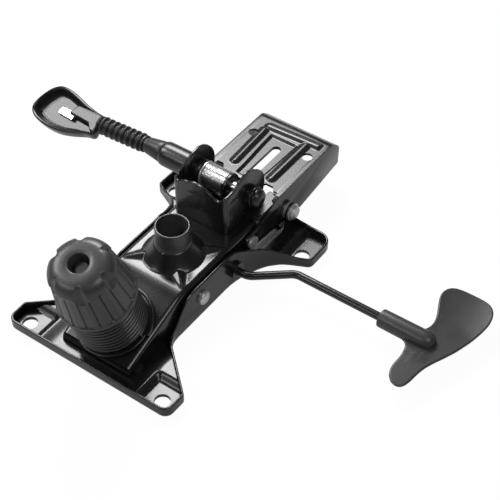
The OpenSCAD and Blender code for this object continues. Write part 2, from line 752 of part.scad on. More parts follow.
module lock_handle() color([0.2, 0.2, 0.21]) {
  outline = rounded([
    [0, -16, 3], [0, 6, 3], [-20, 9, 14], [-47, 18.5, 12], [-62, 20, 8], [-handle_len + 5, 4, 6],
    [-handle_len, -14, 8], [-handle_len + 10, -27, 10], [-38, -28, 14], [-14, -21.5, 10]
  ]);
  in_handle() difference() {
    translate([0, 0, -7]) linear_extrude(14) polygon(outline);
    translate([0, 0, -4.5]) linear_extrude(20) intersection() {
      polygon(inset(outline, -2.5));
      polygon([[-34, -40], [-34, 40], [-handle_len - 10, 40], [-handle_len - 10, -40]]);
    }
    rotate([0, 90, 0]) translate([0, 0, -23]) cylinder(r = shaft_r + 0.02, h = 40);
  }
}

module lock_tongue() color([0.75, 0.75, 0.74]) {
  in_handle() translate([-60, -9, -4.5]) cube([22, 12, 2]);
}

module lever_rod() color([0.09, 0.09, 0.1]) {
  y1 = rod_y + rod_offset;
  x1 = flange_x + 16;
  first = [-flange_x - bush_proud - 3, rod_y];
  last = [rod_reach - 6, y1];
  bend1 = [x1, rod_y, rod_bend];
  bend2 = [x1 + rod_run, y1, rod_bend];
  translate([0, 0, rod_z]) mitred_bar(
    concat([first], corner(first, bend1, bend2, 3), corner(bend1, bend2, last, 3), [last]), rod_r
  );
}

module lever_finger() color([0.7, 0.7, 0.69]) {
  difference() {
    side(-5, 5) union() {
      translate([rod_y, rod_z]) circle(r = rod_r + 3.5);
      polygon(rounded([
        [rod_y - 7.5, rod_z, 0], [rod_y - 10, finger_top, 4], [-3, finger_top, 0],
        [-3, finger_top - 3.5, 2], [rod_y - 7, finger_top - 3.5, 4], [rod_y + 5, rod_z - 5, 0],
        [rod_y, rod_z, 0]
      ]));
    }
    rod_x(-10, 10, rod_y, rod_z, rod_r + 0.02);
  }
}

module lever_paddle() color([0.22, 0.22, 0.23]) {
  reach = rod_reach;
  y0 = rod_y + rod_offset;
  x0 = reach - 55;
  wing = rounded([
    [reach - 38, y0 - 7, 1], [reach - 20, y0 - 10, 12], [reach - 18, y0 - 40, 18],
    [reach - 9, y0 - 56, 7], [reach + 2, y0 - 55, 5], [reach + 4, y0 - 30, 30],
    [reach + 20, y0 + 4, 60], [reach + 30, y0 + 52, 20], [reach + 21, y0 + 74, 12],
    [reach - 16, y0 + 74, 10], [reach - 27, y0 + 60, 10], [reach - 12, y0 + 28, 30],
    [reach - 18, y0 + 7, 3], [reach - 38, y0 + 7, 1]
  ]);
  difference() {
    union() {
      rod_x(x0, reach - 3, y0, rod_z, rod_r + 4);
      translate([0, 0, rod_z - rod_r - 3]) linear_extrude(paddle_t) polygon(wing);
    }
    rod_x(0, reach - 6, y0, rod_z, rod_r + 0.02);
  }
}

module lever_retainer() color([0.75, 0.75, 0.74]) {
  ring_x(
    -flange_x - bush_proud - side_gap - 1.2, -flange_x - bush_proud - side_gap,
    rod_y, rod_z, rod_r + 3.5, rod_r + 0.02
  );
}

module back_bracket() color([0.1, 0.1, 0.11]) {
  profile = rounded([
    [rear_y - 8, rear_z - 10, 6], [rear_y + 6, rear_z - 12, 10], [148, rim_h, 8], [back_reach - 1, 23, 0],
    [back_reach, back_top - 10, 10], [back_reach - 13, back_top, 12], [back_front - 1, back_top, 2],
    [back_front - 36, back_top - 12, 14], [link_y - 9, link_z + 8, 8], [link_y - 9, link_z - 9, 8],
    [link_y + 8, link_z - 9, 12]
  ]);
  inner = rounded([
    [0, -10, 0], [back_reach - 1 - back_t, -10, 0], [back_reach - back_t, back_top - 10, 8],
    [back_reach - 13.5, back_top - back_t, 10], [0, back_top - back_t, 0]
  ]);
  difference() {
    union() {
      difference() {
        side(-back_x, back_x) polygon(profile);
        side(-back_x + back_t, back_x - back_t) polygon(inner);
      }
      translate([-well_x - back_t, back_front - 1, back_top - well_h - back_t])
        cube([2 * (well_x + back_t), well_end + back_t - back_front + 1, well_h + 0.5]);
      for (b = beads) translate([0, 0, back_top - 1]) linear_extrude(1 + bead_h)
        polygon(bar_outline(b[0], b[1], b[2]));
    }
    translate([-well_x, back_front + 5, back_top - well_h])
      cube([2 * well_x, well_end - back_front - 5, well_h + 5]);
    // Open front between the side strips, deeper where the ears swing past
    linear_extrude(90) polygon(rounded([
      [-back_x + 4.6, 20, 0], [back_x - 4.6, 20, 0], [back_x - 4.6, back_front + 2, 3],
      [lock_right + 2.5, ear_cut, 3], [lock_right - lock_t - 2.5, ear_cut, 3],
      [lock_right - lock_t - 8, back_front - 1, 3], [-lock_left + lock_t + 8, back_front - 1, 3],
      [-lock_left + lock_t + 2.5, ear_cut, 3], [-lock_left - 1.5, ear_cut, 2],
      [-back_x + 4.6, back_front + 2, 1]
    ]));
    translate([0, 0, back_top - 12]) {
      linear_extrude(20) union() {
        translate([-slot_w / 2, back_front + 7 + slot_w / 2]) square([slot_w, 43]);
        translate([0, back_front + 7 + slot_w / 2]) circle(r = slot_w / 2);
        translate([0, back_front + 50 + slot_w / 2]) circle(r = slot_w / 2);
      }
    }
    both() {
      translate([back_dx / 2, back_hole_y, back_top - 8]) cylinder(r = back_hole_d / 2, h = 20);
      rod_x(back_x - back_t - 1, back_x + 1, rear_y, rear_z, wall_r);
      rod_x(back_x - back_t - 1, back_x + 1, link_y, link_z, pin_r + link_gap);
    }
  }
}

module bracket_bushes() color([0.85, 0.84, 0.8]) {
  both() difference() {
    union() {
      rod_x(back_x - back_t, back_x, rear_y, rear_z, wall_r);
      rod_x(back_x - back_t - 1.2, back_x - back_t, rear_y, rear_z, wall_r + 2.5);
    }
    rod_x(back_x - back_t - 3, back_x + 1, rear_y, rear_z, bush_r);
  }
}

seat_plate();
main_pivot_pins();
rear_pivot_pins();
pivot_washers();
bolt_saddle();
tension_bolt();
lever_bushes();
stop_pads();
thrust_washer();
tension_spring();
tension_knob();
knob_nut();
tilt_body();
spring_seat();
gas_socket();
socket_brace();
lock_bracket();
pivot_bushes();
link_pins();
ear_bush();
lock_collar();
lock_shaft();
lock_cam();
lock_washer();
lock_spring();
spring_retainer();
shaft_cap();
lock_sleeve();
lock_bellows();
lock_tongue();
lock_handle();
lever_rod();
lever_finger();
lever_paddle();
lever_retainer();
back_bracket();
bracket_bushes();
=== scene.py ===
"""Dressed office chair tilt mechanism, lying on its seat face as in the photograph."""

import logging
import math
from contextlib import contextmanager
from dataclasses import dataclass
from enum import Enum
from typing import Callable, Iterable, Iterator, Sequence

import bpy
from mathutils import Matrix, Vector


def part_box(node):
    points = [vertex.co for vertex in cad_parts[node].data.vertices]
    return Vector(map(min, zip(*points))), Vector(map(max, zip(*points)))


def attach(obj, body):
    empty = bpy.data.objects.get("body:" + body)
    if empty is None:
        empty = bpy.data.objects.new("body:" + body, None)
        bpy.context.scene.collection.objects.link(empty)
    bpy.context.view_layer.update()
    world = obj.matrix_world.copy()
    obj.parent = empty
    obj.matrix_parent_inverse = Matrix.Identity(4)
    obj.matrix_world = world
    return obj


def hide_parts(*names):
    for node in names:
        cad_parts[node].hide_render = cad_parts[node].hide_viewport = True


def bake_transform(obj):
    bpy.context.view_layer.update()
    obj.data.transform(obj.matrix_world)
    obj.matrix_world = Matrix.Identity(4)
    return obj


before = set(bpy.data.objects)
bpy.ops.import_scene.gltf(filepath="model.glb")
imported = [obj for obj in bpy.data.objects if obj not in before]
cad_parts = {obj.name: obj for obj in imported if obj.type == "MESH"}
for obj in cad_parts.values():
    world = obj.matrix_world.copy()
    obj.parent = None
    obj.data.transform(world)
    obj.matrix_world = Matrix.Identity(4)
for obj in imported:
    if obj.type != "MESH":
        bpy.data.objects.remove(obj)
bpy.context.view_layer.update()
log = logging.getLogger("tilt_mechanism")
MM = 0.001
# Least edge angle, in radians, that a bevel takes where nothing else is said
SHARP = 0.6
Pair = tuple[float, float]
Point = tuple[float, float, float]


class Slot(Enum):
    """The record's material slots."""

    ENAMEL = "black_enamel"
    SOCKET = "socket_steel"
    ZINC = "zinc"
    BRIGHT = "bright_steel"
    SPRING = "spring_black"
    GREY = "grey_plastic"
    GLOSS = "gloss_plastic"
    NYLON = "nylon"
    RUBBER = "black_rubber"


class Wire:
    """A node socket that takes part in Python expressions."""

    def __init__(self, bench: "ShaderBench", socket: bpy.types.NodeSocket) -> None:
        """Keeps the socket and the bench that adds its nodes."""
        self.bench = bench
        self.socket = socket

    def _math(self, kind: str, *values: "Wire | float") -> "Wire":
        """Adds one Math node over the values."""
        return self.bench.node("ShaderNodeMath", {"operation": kind}, dict(enumerate(values)))

    def __add__(self, other: "Wire | float") -> "Wire":
        """Sum."""
        return self._math("ADD", self, other)

    def __radd__(self, other: float) -> "Wire":
        """Sum with a number on the left."""
        return self._math("ADD", other, self)

    def __mul__(self, other: "Wire | float") -> "Wire":
        """Product."""
        return self._math("MULTIPLY", self, other)

    def __rmul__(self, other: float) -> "Wire":
        """Product with a number on the left."""
        return self._math("MULTIPLY", other, self)


class ShaderBench:
    """Builds the node tree of one material or of the world."""

    def __init__(self, owner: "bpy.types.Material | bpy.types.World", output: str = "Material") -> None:
        """Starts an empty tree with its output node.

        Args:
            owner: The material or world.
            output: What the output node is for.
        """
        owner.use_nodes = True
        self.owner = owner
        self.tree = owner.node_tree
        self.tree.nodes.clear()
        self.out = self.tree.nodes.new("ShaderNodeOutput" + output)

    def node(
        self,
        kind: str,
        settings: dict[str, object] | None = None,
        inputs: dict[object, object] | None = None,
        output: str | int = 0,
    ) -> Wire:
        """Adds a node.

        Args:
            kind: The node's Blender type.
            settings: Properties, set first.
            inputs: Values or wires by socket name or number.
            output: The output socket to return.

        Returns:
            The chosen output as a wire.
        """
        made = self.tree.nodes.new(kind)
        for key, value in (settings or {}).items():
            setattr(made, key, value)
        for key, value in (inputs or {}).items():
            if isinstance(value, Wire):
                self.tree.links.new(value.socket, made.inputs[key])
            else:
                made.inputs[key].default_value = value
        return Wire(self, made.outputs[output])

    def place(self, scale: float) -> Wire:
        """Object coordinates times a scale."""
        coords = self.node("ShaderNodeTexCoord", output="Object")
        return self.node("ShaderNodeMapping", None, {0: coords, "Scale": (scale, scale, scale)})

    def noise(self, scale: float, detail: float = 2.0, rough: float = 0.5) -> Wire:
        """Noise over object coordinates, from 0 to 1."""
        sockets = {0: self.place(scale), "Scale": 1.0, "Detail": detail, "Roughness": rough}
        return self.node("ShaderNodeTexNoise", None, sockets)

    def blend(self, factor: Wire, first: Point, second: Point) -> Wire:
        """Mixes two colours."""
        colours = {0: factor, 6: (*first, 1.0), 7: (*second, 1.0)}
        return self.node("ShaderNodeMix", {"data_type": "RGBA"}, colours, 2)

    def bump(self, height: Wire, strength: float, distance: float) -> Wire:
        """A bump normal."""
        return self.node("ShaderNodeBump", None, {"Height": height, "Strength": strength, "Distance": distance})

    def surface(self, shader: Wire) -> "bpy.types.Material | bpy.types.World":
        """Leads a shader to the output and returns the tree's owner."""
        self.tree.links.new(shader.socket, self.out.inputs["Surface"])
        return self.owner

    def finish(self, sockets: dict[str, object]) -> bpy.types.Material:
        """Adds the Principled shader with these sockets and returns the material."""
        return self.surface(self.node("ShaderNodeBsdfPrincipled", None, sockets))


@dataclass(frozen=True)
class Enamel:
    """Sprayed gloss enamel on pressed steel, with a faint orange peel."""

    name: str = "gloss_enamel"
    dark: Point = (0.006, 0.006, 0.0065)
    light: Point = (0.014, 0.014, 0.015)
    rough: float = 0.27
    coat: float = 0.35

    def make(self) -> bpy.types.Material:
        """Builds the material.

        Returns:
            The material.
        """
        bench = ShaderBench(bpy.data.materials.new(self.name))
        cloud = bench.noise(38.0, 3.0)
        peel = bench.noise(420.0, 1.0)
        return bench.finish({
            "Base Color": bench.blend(cloud, self.dark, self.light),
            "Roughness": cloud * 0.1 + (self.rough - 0.05),
            "Coat Weight": self.coat,
            "Coat Roughness": 0.13,
            "Normal": bench.bump(peel, 0.03, 0.0003),
        })


@dataclass(frozen=True)
class Metal:
    """Bare or plated metal with drawing marks and dull patches."""

    name: str
    tone: Point
    dull: Point
    rough: float
    metallic: float = 1.0

    def make(self) -> bpy.types.Material:
        """Builds the material.

        Returns:
            The material.
        """
        bench = ShaderBench(bpy.data.materials.new(self.name))
        patch = bench.noise(160.0, 4.0)
        grain = bench.noise(900.0, 2.0, 0.7)
        return bench.finish({
            "Base Color": bench.blend(patch, self.tone, self.dull),
            "Metallic": self.metallic,
            "Roughness": patch * 0.16 + (self.rough - 0.08),
            "Normal": bench.bump(grain, 0.1, 0.0002),
        })


@dataclass(frozen=True)
class TurnedPaint:
    """Thin paint on a turned tube whose tool marks run round it."""

    name: str = "socket_paint"
    dark: Point = (0.03, 0.03, 0.031)
    light: Point = (0.11, 0.11, 0.111)
    marks: float = 0.9

    def make(self) -> bpy.types.Material:
        """Builds the material.

        Returns:
            The material.
        """
        bench = ShaderBench(bpy.data.materials.new(self.name))
        cloud = bench.noise(70.0, 3.0)
        waves = {0: bench.place(1.0), "Scale": 314.0 / self.marks, "Distortion": 1.5, "Detail": 2.0}
        rings = bench.node("ShaderNodeTexWave", {"bands_direction": "Z"}, waves, 1)
        return bench.finish({
            "Base Color": bench.blend(cloud, self.dark, self.light),
            "Roughness": cloud * 0.12 + 0.24,
            "Metallic": 0.35,
            "Coat Weight": 0.2,
            "Normal": bench.bump(rings, 0.3, 0.0002),
        })


@dataclass(frozen=True)
class Moulding:
    """Moulded plastic or rubber with a fine grain."""

    name: str
    tone: Point
    lift: Point
    rough: float
    grain: float = 1500.0
    depth: float = 0.25
    coat: float = 0.0

    def make(self) -> bpy.types.Material:
        """Builds the material.

        Returns:
            The material.
        """
        bench = ShaderBench(bpy.data.materials.new(self.name))
        cloud = bench.noise(60.0, 3.0)
        grain = bench.noise(self.grain, 2.0, 0.6)
        return bench.finish({
            "Base Color": bench.blend(cloud, self.tone, self.lift),
            "Roughness": grain * 0.14 + (self.rough - 0.07),
            "Coat Weight": self.coat,
            "Coat Roughness": 0.12,
            "Normal": bench.bump(grain, self.depth, 0.0003),
        })


FINISHES = {
    Slot.ENAMEL: Enamel(),
    Slot.SOCKET: TurnedPaint(),
    Slot.ZINC: Metal("zinc_plate", (0.8, 0.8, 0.79), (0.6, 0.6, 0.59), 0.36, 0.6),
    Slot.BRIGHT: Metal("bright_steel", (0.86, 0.86, 0.85), (0.7, 0.7, 0.69), 0.3),
    Slot.SPRING: Enamel("spring_paint", (0.008, 0.008, 0.008), (0.02, 0.02, 0.02), 0.3, 0.3),
    Slot.GREY: Moulding("grey_moulding", (0.036, 0.036, 0.037), (0.056, 0.056, 0.057), 0.38, 1500.0, 0.18, 0.12),
    Slot.GLOSS: Moulding("black_moulding", (0.008, 0.008, 0.008), (0.015, 0.015, 0.015), 0.3, 900.0, 0.06, 0.2),
    Slot.NYLON: Moulding("white_nylon", (0.6, 0.59, 0.55), (0.7, 0.69, 0.65), 0.5),
    Slot.RUBBER: Moulding("black_rubber_skin", (0.01, 0.01, 0.01), (0.018, 0.018, 0.018), 0.42, 1200.0, 0.15, 0.1),
}


class Bench:
    """Modelling steps shared by every sub-assembly. Sizes are in millimetres."""

    def __init__(self) -> None:
        """Makes every finish once."""
        self.materials = {slot: finish.make() for slot, finish in FINISHES.items()}

    def clear(self) -> None:
        """Leaves nothing selected."""
        bpy.ops.object.select_all(action="DESELECT")

    def take(self, piece: bpy.types.Object) -> None:
        """Makes a piece the only one selected and active.

        Args:
            piece: The piece.
        """
        self.clear()
        piece.select_set(True)
        bpy.context.view_layer.objects.active = piece

    @contextmanager
    def editing(self, piece: bpy.types.Object) -> Iterator[None]:
        """Opens a piece in edit mode with all of it selected, and closes it at the end.

        Args:
            piece: The piece.

        Yields:
            Nothing.
        """
        self.take(piece)
        bpy.ops.object.mode_set(mode="EDIT")
        bpy.ops.mesh.select_all(action="SELECT")
        yield
        bpy.ops.object.mode_set(mode="OBJECT")

    def face_out(self) -> None:
        """Turns all faces of the edited piece outwards."""
        bpy.ops.mesh.select_all(action="SELECT")
        bpy.ops.mesh.normals_make_consistent(inside=False)

    def apply(self, piece: bpy.types.Object, kind: str, **settings: object) -> None:
        """Adds one modifier and applies it.

        Args:
            piece: The piece to change.
            kind: The modifier's type.
            settings: The modifier's properties.
        """
        self.take(piece)
        modifier = piece.modifiers.new(kind.lower(), kind)
        for key, value in settings.items():
            setattr(modifier, key, value)
        bpy.ops.object.modifier_apply(modifier=modifier.name)

    def bevel(self, piece: bpy.types.Object, width: float, steps: int, angle: float = SHARP) -> None:
        """Rolls a piece's edges that turn by more than an angle in radians."""
        self.apply(piece, "BEVEL", width=width * MM, segments=steps, limit_method="ANGLE", angle_limit=angle)

    def roll_edges(
        self,
        piece: bpy.types.Object,
        wanted: Callable[[Sequence[Vector], Sequence[Vector]], bool],
        width: float,
        steps: int,
    ) -> None:
        """Rolls the edges that a test picks.

        Args:
            piece: The piece to change.
            wanted: Takes an edge's two ends, in millimetres, and the normals of its faces.
            width: The bevel's width.
            steps: The bevel's segments.
        """
        mesh = piece.data
        normals: dict[tuple[int, int], list[Vector]] = {}
        for polygon in mesh.polygons:
            polygon.select = False
            for key in polygon.edge_keys:
                normals.setdefault(key, []).append(polygon.normal.copy())
        for vertex in mesh.vertices:
            vertex.select = False
        for edge in mesh.edges:
            ends = [mesh.vertices[i].co / MM for i in edge.vertices]
            edge.select = wanted(ends, normals.get(tuple(sorted(edge.vertices)), []))
        self.take(piece)
        bpy.ops.object.mode_set(mode="EDIT")
        bpy.ops.mesh.select_mode(type="EDGE")
        bpy.ops.mesh.bevel(offset=width * MM, segments=steps, clamp_overlap=False)
        bpy.ops.mesh.select_mode(type="VERT")
        bpy.ops.object.mode_set(mode="OBJECT")

    def smooth(self, piece: bpy.types.Object, angle: float) -> None:
        """Smooth shading up to an angle in degrees."""
        self.take(piece)
        bpy.ops.object.shade_smooth_by_angle(angle=math.radians(angle))

    def tidy(self, piece: bpy.types.Object, gap: float = 1e-6) -> None:
        """Merges doubles and turns the faces outwards.

        Args:
            piece: The piece to change.
            gap: The distance, in metres, under which two points become one.
        """
        with self.editing(piece):
            bpy.ops.mesh.remove_doubles(threshold=gap)
            bpy.ops.mesh.normals_make_consistent(inside=False)

    def dress(
        self, piece: bpy.types.Object, name: str, body: str | None, slot: Slot, stands_for: str | None = None
    ) -> None:
        """Names a piece, gives it its finish and lets it ride on its body.

        Args:
            piece: The finished piece.
            name: Its name.
            body: The CAD body it moves with, or None where it bends between two.
            slot: Its material slot.
            stands_for: The CAD node it replaces.
        """
        piece.name = name
        piece.data.name = name
        piece.data.materials.clear()
        piece.data.materials.append(self.materials[slot])
        if body:
            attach(piece, body)
        if stands_for:
            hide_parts(stands_for)
        log.info("%s rides on %s", name, body or "two bodies")

    def paint(self, slot: Slot, *nodes: str) -> None:
        """Gives CAD nodes that stay a finish.

        Args:
            slot: The material slot.
            nodes: The nodes' names.
        """
        for name in nodes:
            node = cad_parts[name]
            node.data.materials.clear()
            node.data.materials.append(self.materials[slot])
            self.smooth(node, 35.0)
            log.info("%s keeps its solid", name)

    def pressing(self, node: str, width: float, steps: int = 3, angle: float = 32.0) -> bpy.types.Object:
        """A copy of a CAD node whose sharp edges are rolled.

        Args:
            node: The CAD node.
            width: The bevel's width, or 0 for none.
            steps: The bevel's segments.
            angle: The least edge angle that is rolled, in degrees.

        Returns:
            The new piece.
        """
        piece = bpy.data.objects.new(node + "_pressing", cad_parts[node].data.copy())
        bpy.context.scene.collection.objects.link(piece)
        self.tidy(piece)
        with self.editing(piece):
            bpy.ops.mesh.dissolve_limited(angle_limit=math.radians(0.6))
        if width > 0:
            self.bevel(piece, width, steps, math.radians(angle))
        self.smooth(piece, 38.0)
        return piece

    def lathe(self, points: Sequence[Pair], steps: int, place: Matrix) -> bpy.types.Object:
        """Spins a closed profile round Z and puts it in place.

        Args:
            points: Radius and height of each corner.
            steps: Steps of the full turn.
            place: Where the turned piece goes.

        Returns:
            The turned piece.
        """
        profile = [*points, points[0]]
        self.clear()
        bpy.ops.mesh.primitive_plane_add(size=MM, location=(0, 0, 0))
        piece = bpy.context.active_object
        with self.editing(piece):
            bpy.ops.mesh.merge(type="CENTER")
            bpy.ops.transform.translate(value=(points[0][0] * MM, 0, points[0][1] * MM))
            for before, after in zip(profile, profile[1:]):
                step = ((after[0] - before[0]) * MM, 0, (after[1] - before[1]) * MM)
                bpy.ops.mesh.extrude_region_move(TRANSFORM_OT_translate={"value": step})
            bpy.ops.mesh.select_all(action="SELECT")
            bpy.ops.mesh.spin(steps=steps, angle=2 * math.pi, center=(0, 0, 0), axis=(0, 0, 1))
            bpy.ops.mesh.select_all(action="SELECT")
            bpy.ops.mesh.remove_doubles(threshold=2e-6)
            self.face_out()
        piece.data.transform(place)
        return piece

    def tube(self, path: Sequence[Point], radius: float, sides: int) -> bpy.types.Object:
        """A round bar along a path.

        Args:
            path: The points of its centre line.
            radius: Its radius.
            sides: Half the number of its sides, less two.

        Returns:
            The bar as a mesh.
        """
        curve = bpy.data.curves.new("bar", "CURVE")
        curve.dimensions = "3D"
        curve.bevel_depth = radius * MM
        curve.bevel_resolution = sides
        curve.use_fill_caps = True
        curve.twist_mode = "MINIMUM"
        spline = curve.splines.new("POLY")
        spline.points.add(len(path) - 1)
        for point, spot in zip(spline.points, path):
            point.co = (*(value * MM for value in spot), 1.0)
        piece = bpy.data.objects.new("bar", curve)
        bpy.context.scene.collection.objects.link(piece)
        self.take(piece)
        bpy.ops.object.convert(target="MESH")
        piece = bpy.context.active_object
        self.tidy(piece, 1e-7)
        self.smooth(piece, 50.0)
        return piece

    def grid(self, columns: int, rows: int, shape: Callable[[float, float], Point]) -> bpy.types.Object:
        """A subdivided grid with its points put on a shape.

        Args:
            columns: Faces across.
            rows: Faces along.
            shape: Gives a point from the two grid fractions.

        Returns:
            The open surface.
        """
        self.clear()
        bpy.ops.mesh.primitive_grid_add(x_subdivisions=columns, y_subdivisions=rows, size=2.0)
        piece = bpy.context.active_object
        for vertex in piece.data.vertices:
            vertex.co = Vector(shape((vertex.co.x + 1) / 2, (vertex.co.y + 1) / 2)) * MM
        return piece

    def sheet(
        self, columns: int, rows: int, shape: Callable[[float, float], Point], thick: float
    ) -> bpy.types.Object:
        """A pressed sheet.

        Args:
            columns: Faces across.
            rows: Faces along.
            shape: Gives a point of its outer face from the two grid fractions.
            thick: Its thickness, which goes inwards.

        Returns:
            The sheet.
        """
        piece = self.grid(columns, rows, shape)
        self.tidy(piece, 2e-5)
        self.apply(piece, "SOLIDIFY", thickness=thick * MM, offset=-1.0, use_even_offset=True)
        return piece

    def band(self, columns: int, rows: int, shape: Callable[[int, int], Point]) -> bpy.types.Object:
        """A closed skin over a grid of points whose last row or column meets its first.

        Args:
            columns: Steps along the skin.
            rows: Steps across it.
            shape: Gives a point from the two step numbers.

        Returns:
            The skin with its open ends filled.
        """
        piece = self.grid(columns, rows, lambda u, v: shape(round(u * columns), round(v * rows)))
        with self.editing(piece):
            bpy.ops.mesh.remove_doubles(threshold=2e-6)
            bpy.ops.mesh.select_all(action="SELECT")
            bpy.ops.mesh.fill_holes(sides=0)
            self.face_out()
        return piece

    def strip(self, path: Sequence[Pair], tops: Sequence[float], low: float, thick: float) -> bpy.types.Object:
        """An upright wall along a path, its top edge rolled.

        Args:
            path: The outer face seen from above, its inside on the left.
            tops: The wall's top at each point.
            low: The wall's lower edge.
            thick: The wall's thickness.

        Returns:
            The wall.
        """
        # Marks the corners of the section that lie on the wall's lower edge
        foot = -99.0
        section = [(0, foot), (0, -0.9), (0.28, -0.26), (0.9, 0.0), (thick - 0.9, 0.0), (thick - 0.28, -0.26),
                   (thick, -0.9), (thick, foot), (0, foot)]

        def shape(i: int, j: int) -> Point:
            """A point of the wall.

            Args:
                i: Step along the path.
                j: Step round the section.

            Returns:
                The point.
            """
            inset, drop = section[j]
            x, y = stepped_in(path[max(0, i - 1)], path[i], path[min(len(path) - 1, i + 1)], inset)
            return (x, y, low if drop == foot else tops[i] + drop)

        return self.band(len(path) - 1, len(section) - 1, shape)

    def plate(
        self, ring: Sequence[Point], rise: Sequence[float], margins: Sequence[float] = ()
    ) -> bpy.types.Object:
        """A flat outline drawn out into a solid.

        Args:
            ring: The outline's corners, all in one plane.
            rise: How far it is drawn out.
            margins: Edge bands of the drawn face, which keep it flat under a rolled edge.

        Returns:
            The solid.
        """
        self.clear()
        bpy.ops.mesh.primitive_circle_add(vertices=len(ring), radius=MM, fill_type="NGON")
        piece = bpy.context.active_object
        for vertex, spot in zip(piece.data.vertices, ring):
            vertex.co = Vector(spot) * MM
        with self.editing(piece):
            step = tuple(value * MM for value in rise)
            bpy.ops.mesh.extrude_region_move(TRANSFORM_OT_translate={"value": step})
            for margin in margins:
                bpy.ops.mesh.inset(thickness=margin * MM)
            self.face_out()
        return piece

    def drill(self, place: Point, radius: float, length: float, stretch: float = 0.0) -> bpy.types.Object:
        """An upright cutting cylinder, drawn out along Y where it cuts a slot.

        Args:
            place: Its centre.
            radius: Its radius.
            length: Its length.
            stretch: How far its two halves are drawn apart.

        Returns:
            The cutter.
        """
        self.clear()
        spot = [value * MM for value in place]
        bpy.ops.mesh.primitive_cylinder_add(vertices=48, radius=radius * MM, depth=length * MM, location=spot)
        tool = bpy.context.active_object
        if stretch:
            for vertex in tool.data.vertices:
                vertex.co.y += math.copysign(stretch / 2 * MM, vertex.co.y)
        return tool

    def block(self, low: Point, high: Point) -> bpy.types.Object:
        """A cutting block between two corners.

        Args:
            low: The corner with the least values.
            high: The corner with the greatest values.

        Returns:
            The cutter.
        """
        self.clear()
        middle = [(a + b) / 2 * MM for a, b in zip(low, high)]
        bpy.ops.mesh.primitive_cube_add(size=1.0, location=middle)
        tool = bpy.context.active_object
        for vertex in tool.data.vertices:
            vertex.co = Vector([c * (b - a) * MM for c, a, b in zip(vertex.co, low, high)])
        return tool

    def cut(self, piece: bpy.types.Object, tools: Iterable[bpy.types.Object]) -> None:
        """Cuts tools out of a piece and removes them.

        Args:
            piece: The piece to cut.
            tools: The cutters.
        """
        for tool in tools:
            self.apply(piece, "BOOLEAN", operation="DIFFERENCE", solver="EXACT", object=tool)
            bpy.data.objects.remove(tool, do_unlink=True)

    def join(self, *pieces: bpy.types.Object) -> bpy.types.Object:
        """Joins pieces into the first.

        Args:
            pieces: The pieces.

        Returns:
            The first piece, which now holds them all.
        """
        self.clear()
        for piece in pieces:
            piece.select_set(True)
        bpy.context.view_layer.objects.active = pieces[0]
        bpy.ops.object.join()
        return pieces[0]


def soft(value: float, low: float, high: float) -> float:
    """A smooth step from 0 at low to 1 at high."""
    t = min(1.0, max(0.0, (value - low) / (high - low)))
    return t * t * (3 - 2 * t)


def between(stops: Sequence[Pair], place: float, eased: bool = True) -> float:
    """A line through stops.

    Args:
        stops: Place and value of each stop, in order.
        place: Where the line is read.
        eased: Whether the line is level at each stop, or else straight between them.

    Returns:
        The value there.
    """
    if place <= stops[0][0]:
        return stops[0][1]
    for (a, low), (b, high) in zip(stops, stops[1:]):
        if place <= b:
            t = (place - a) / (b - a)
            return low + (high - low) * ((1 - math.cos(math.pi * t)) / 2 if eased else t)
    return stops[-1][1]


def stepped_in(before: Pair, here: Pair, after: Pair, inset: float) -> Pair:
    """A point moved square to the line through its neighbours.

    Args:
        before: The point before it.
        here: The point.
        after: The point after it.
        inset: How far it moves to the left of the line.

    Returns:
        The moved point.
    """
    dx, dy = after[0] - before[0], after[1] - before[1]
    run = math.hypot(dx, dy)
    return (here[0] - dy / run * inset, here[1] + dx / run * inset)


def rounded_loop(corners: Sequence[Pair], count: int) -> list[Pair]:
    """A closed smooth line through corners.

    Args:
        corners: The corners in order.
        count: Points between each two corners.

    Returns:
        The points of the line.
    """
    line = []
    total = len(corners)
    for i in range(total):
        p = [corners[(i + k - 1) % total] for k in range(4)]
        for j in range(count):
            t = j / count
            line.append(tuple(
                0.5 * (2 * p[1][a] + (p[2][a] - p[0][a]) * t
                       + (2 * p[0][a] - 5 * p[1][a] + 4 * p[2][a] - p[3][a]) * t * t
                       + (3 * p[1][a] - p[0][a] - 3 * p[2][a] + p[3][a]) * t ** 3)
                for a in (0, 1)
            ))
    return line


def coil(radius: float, pitch: float, low: float, high: float, facets: int) -> list[Point]:
    """A coil's centre line round Z.

    Args:
        radius: Its radius.
        pitch: Its rise in one turn.
        low: Its lower end.
        high: Its upper end.
        facets: Steps of one turn.

    Returns:
        The points of the line.
    """
    turns = (high - low) / pitch
    count = int(turns * facets)
    line = []
    for i in range(count + 1):
        angle = 2 * math.pi * turns * i / count
        line.append((radius * math.cos(angle), radius * math.sin(angle), low + (high - low) * i / count))
    return line


def turned_x(x: float, y: float, z: float) -> Matrix:
    """Puts a piece turned round Z on an axis along X through a point in millimetres."""
    return Matrix.Translation(Vector((x, y, z)) * MM) @ Matrix.Rotation(math.pi / 2, 4, "Y")


def rolled_x(place: Point, degrees: float) -> Matrix:
    """Puts a piece at a point in millimetres, turned round X."""
    return Matrix.Translation(Vector(place) * MM) @ Matrix.Rotation(math.radians(degrees), 4, "X")


@dataclass
class Assembly:
    """A sub-assembly. Its sizes are in millimetres."""

    bench: Bench

    def build(self) -> None:
        """Builds and dresses its pieces."""
        raise NotImplementedError


@dataclass(frozen=True)
class Web:
    """The drawn floor between one pair of wings.

    Attributes:
        name: The piece's name.
        end: -1 at the front, 1 at the rear.
        span: Where it starts and ends along Y.
        pad_x: Where the flat pads round the bolt holes start, out from the middle.
        pad_y: Where they start along Y.
        hole_y: How far along Y the bolt holes are.
        edge: Half its width at places along Y.
    """

    name: str
    end: int
    span: Pair
    pad_x: float
    pad_y: float
    hole_y: float
    edge: tuple[Pair, ...]


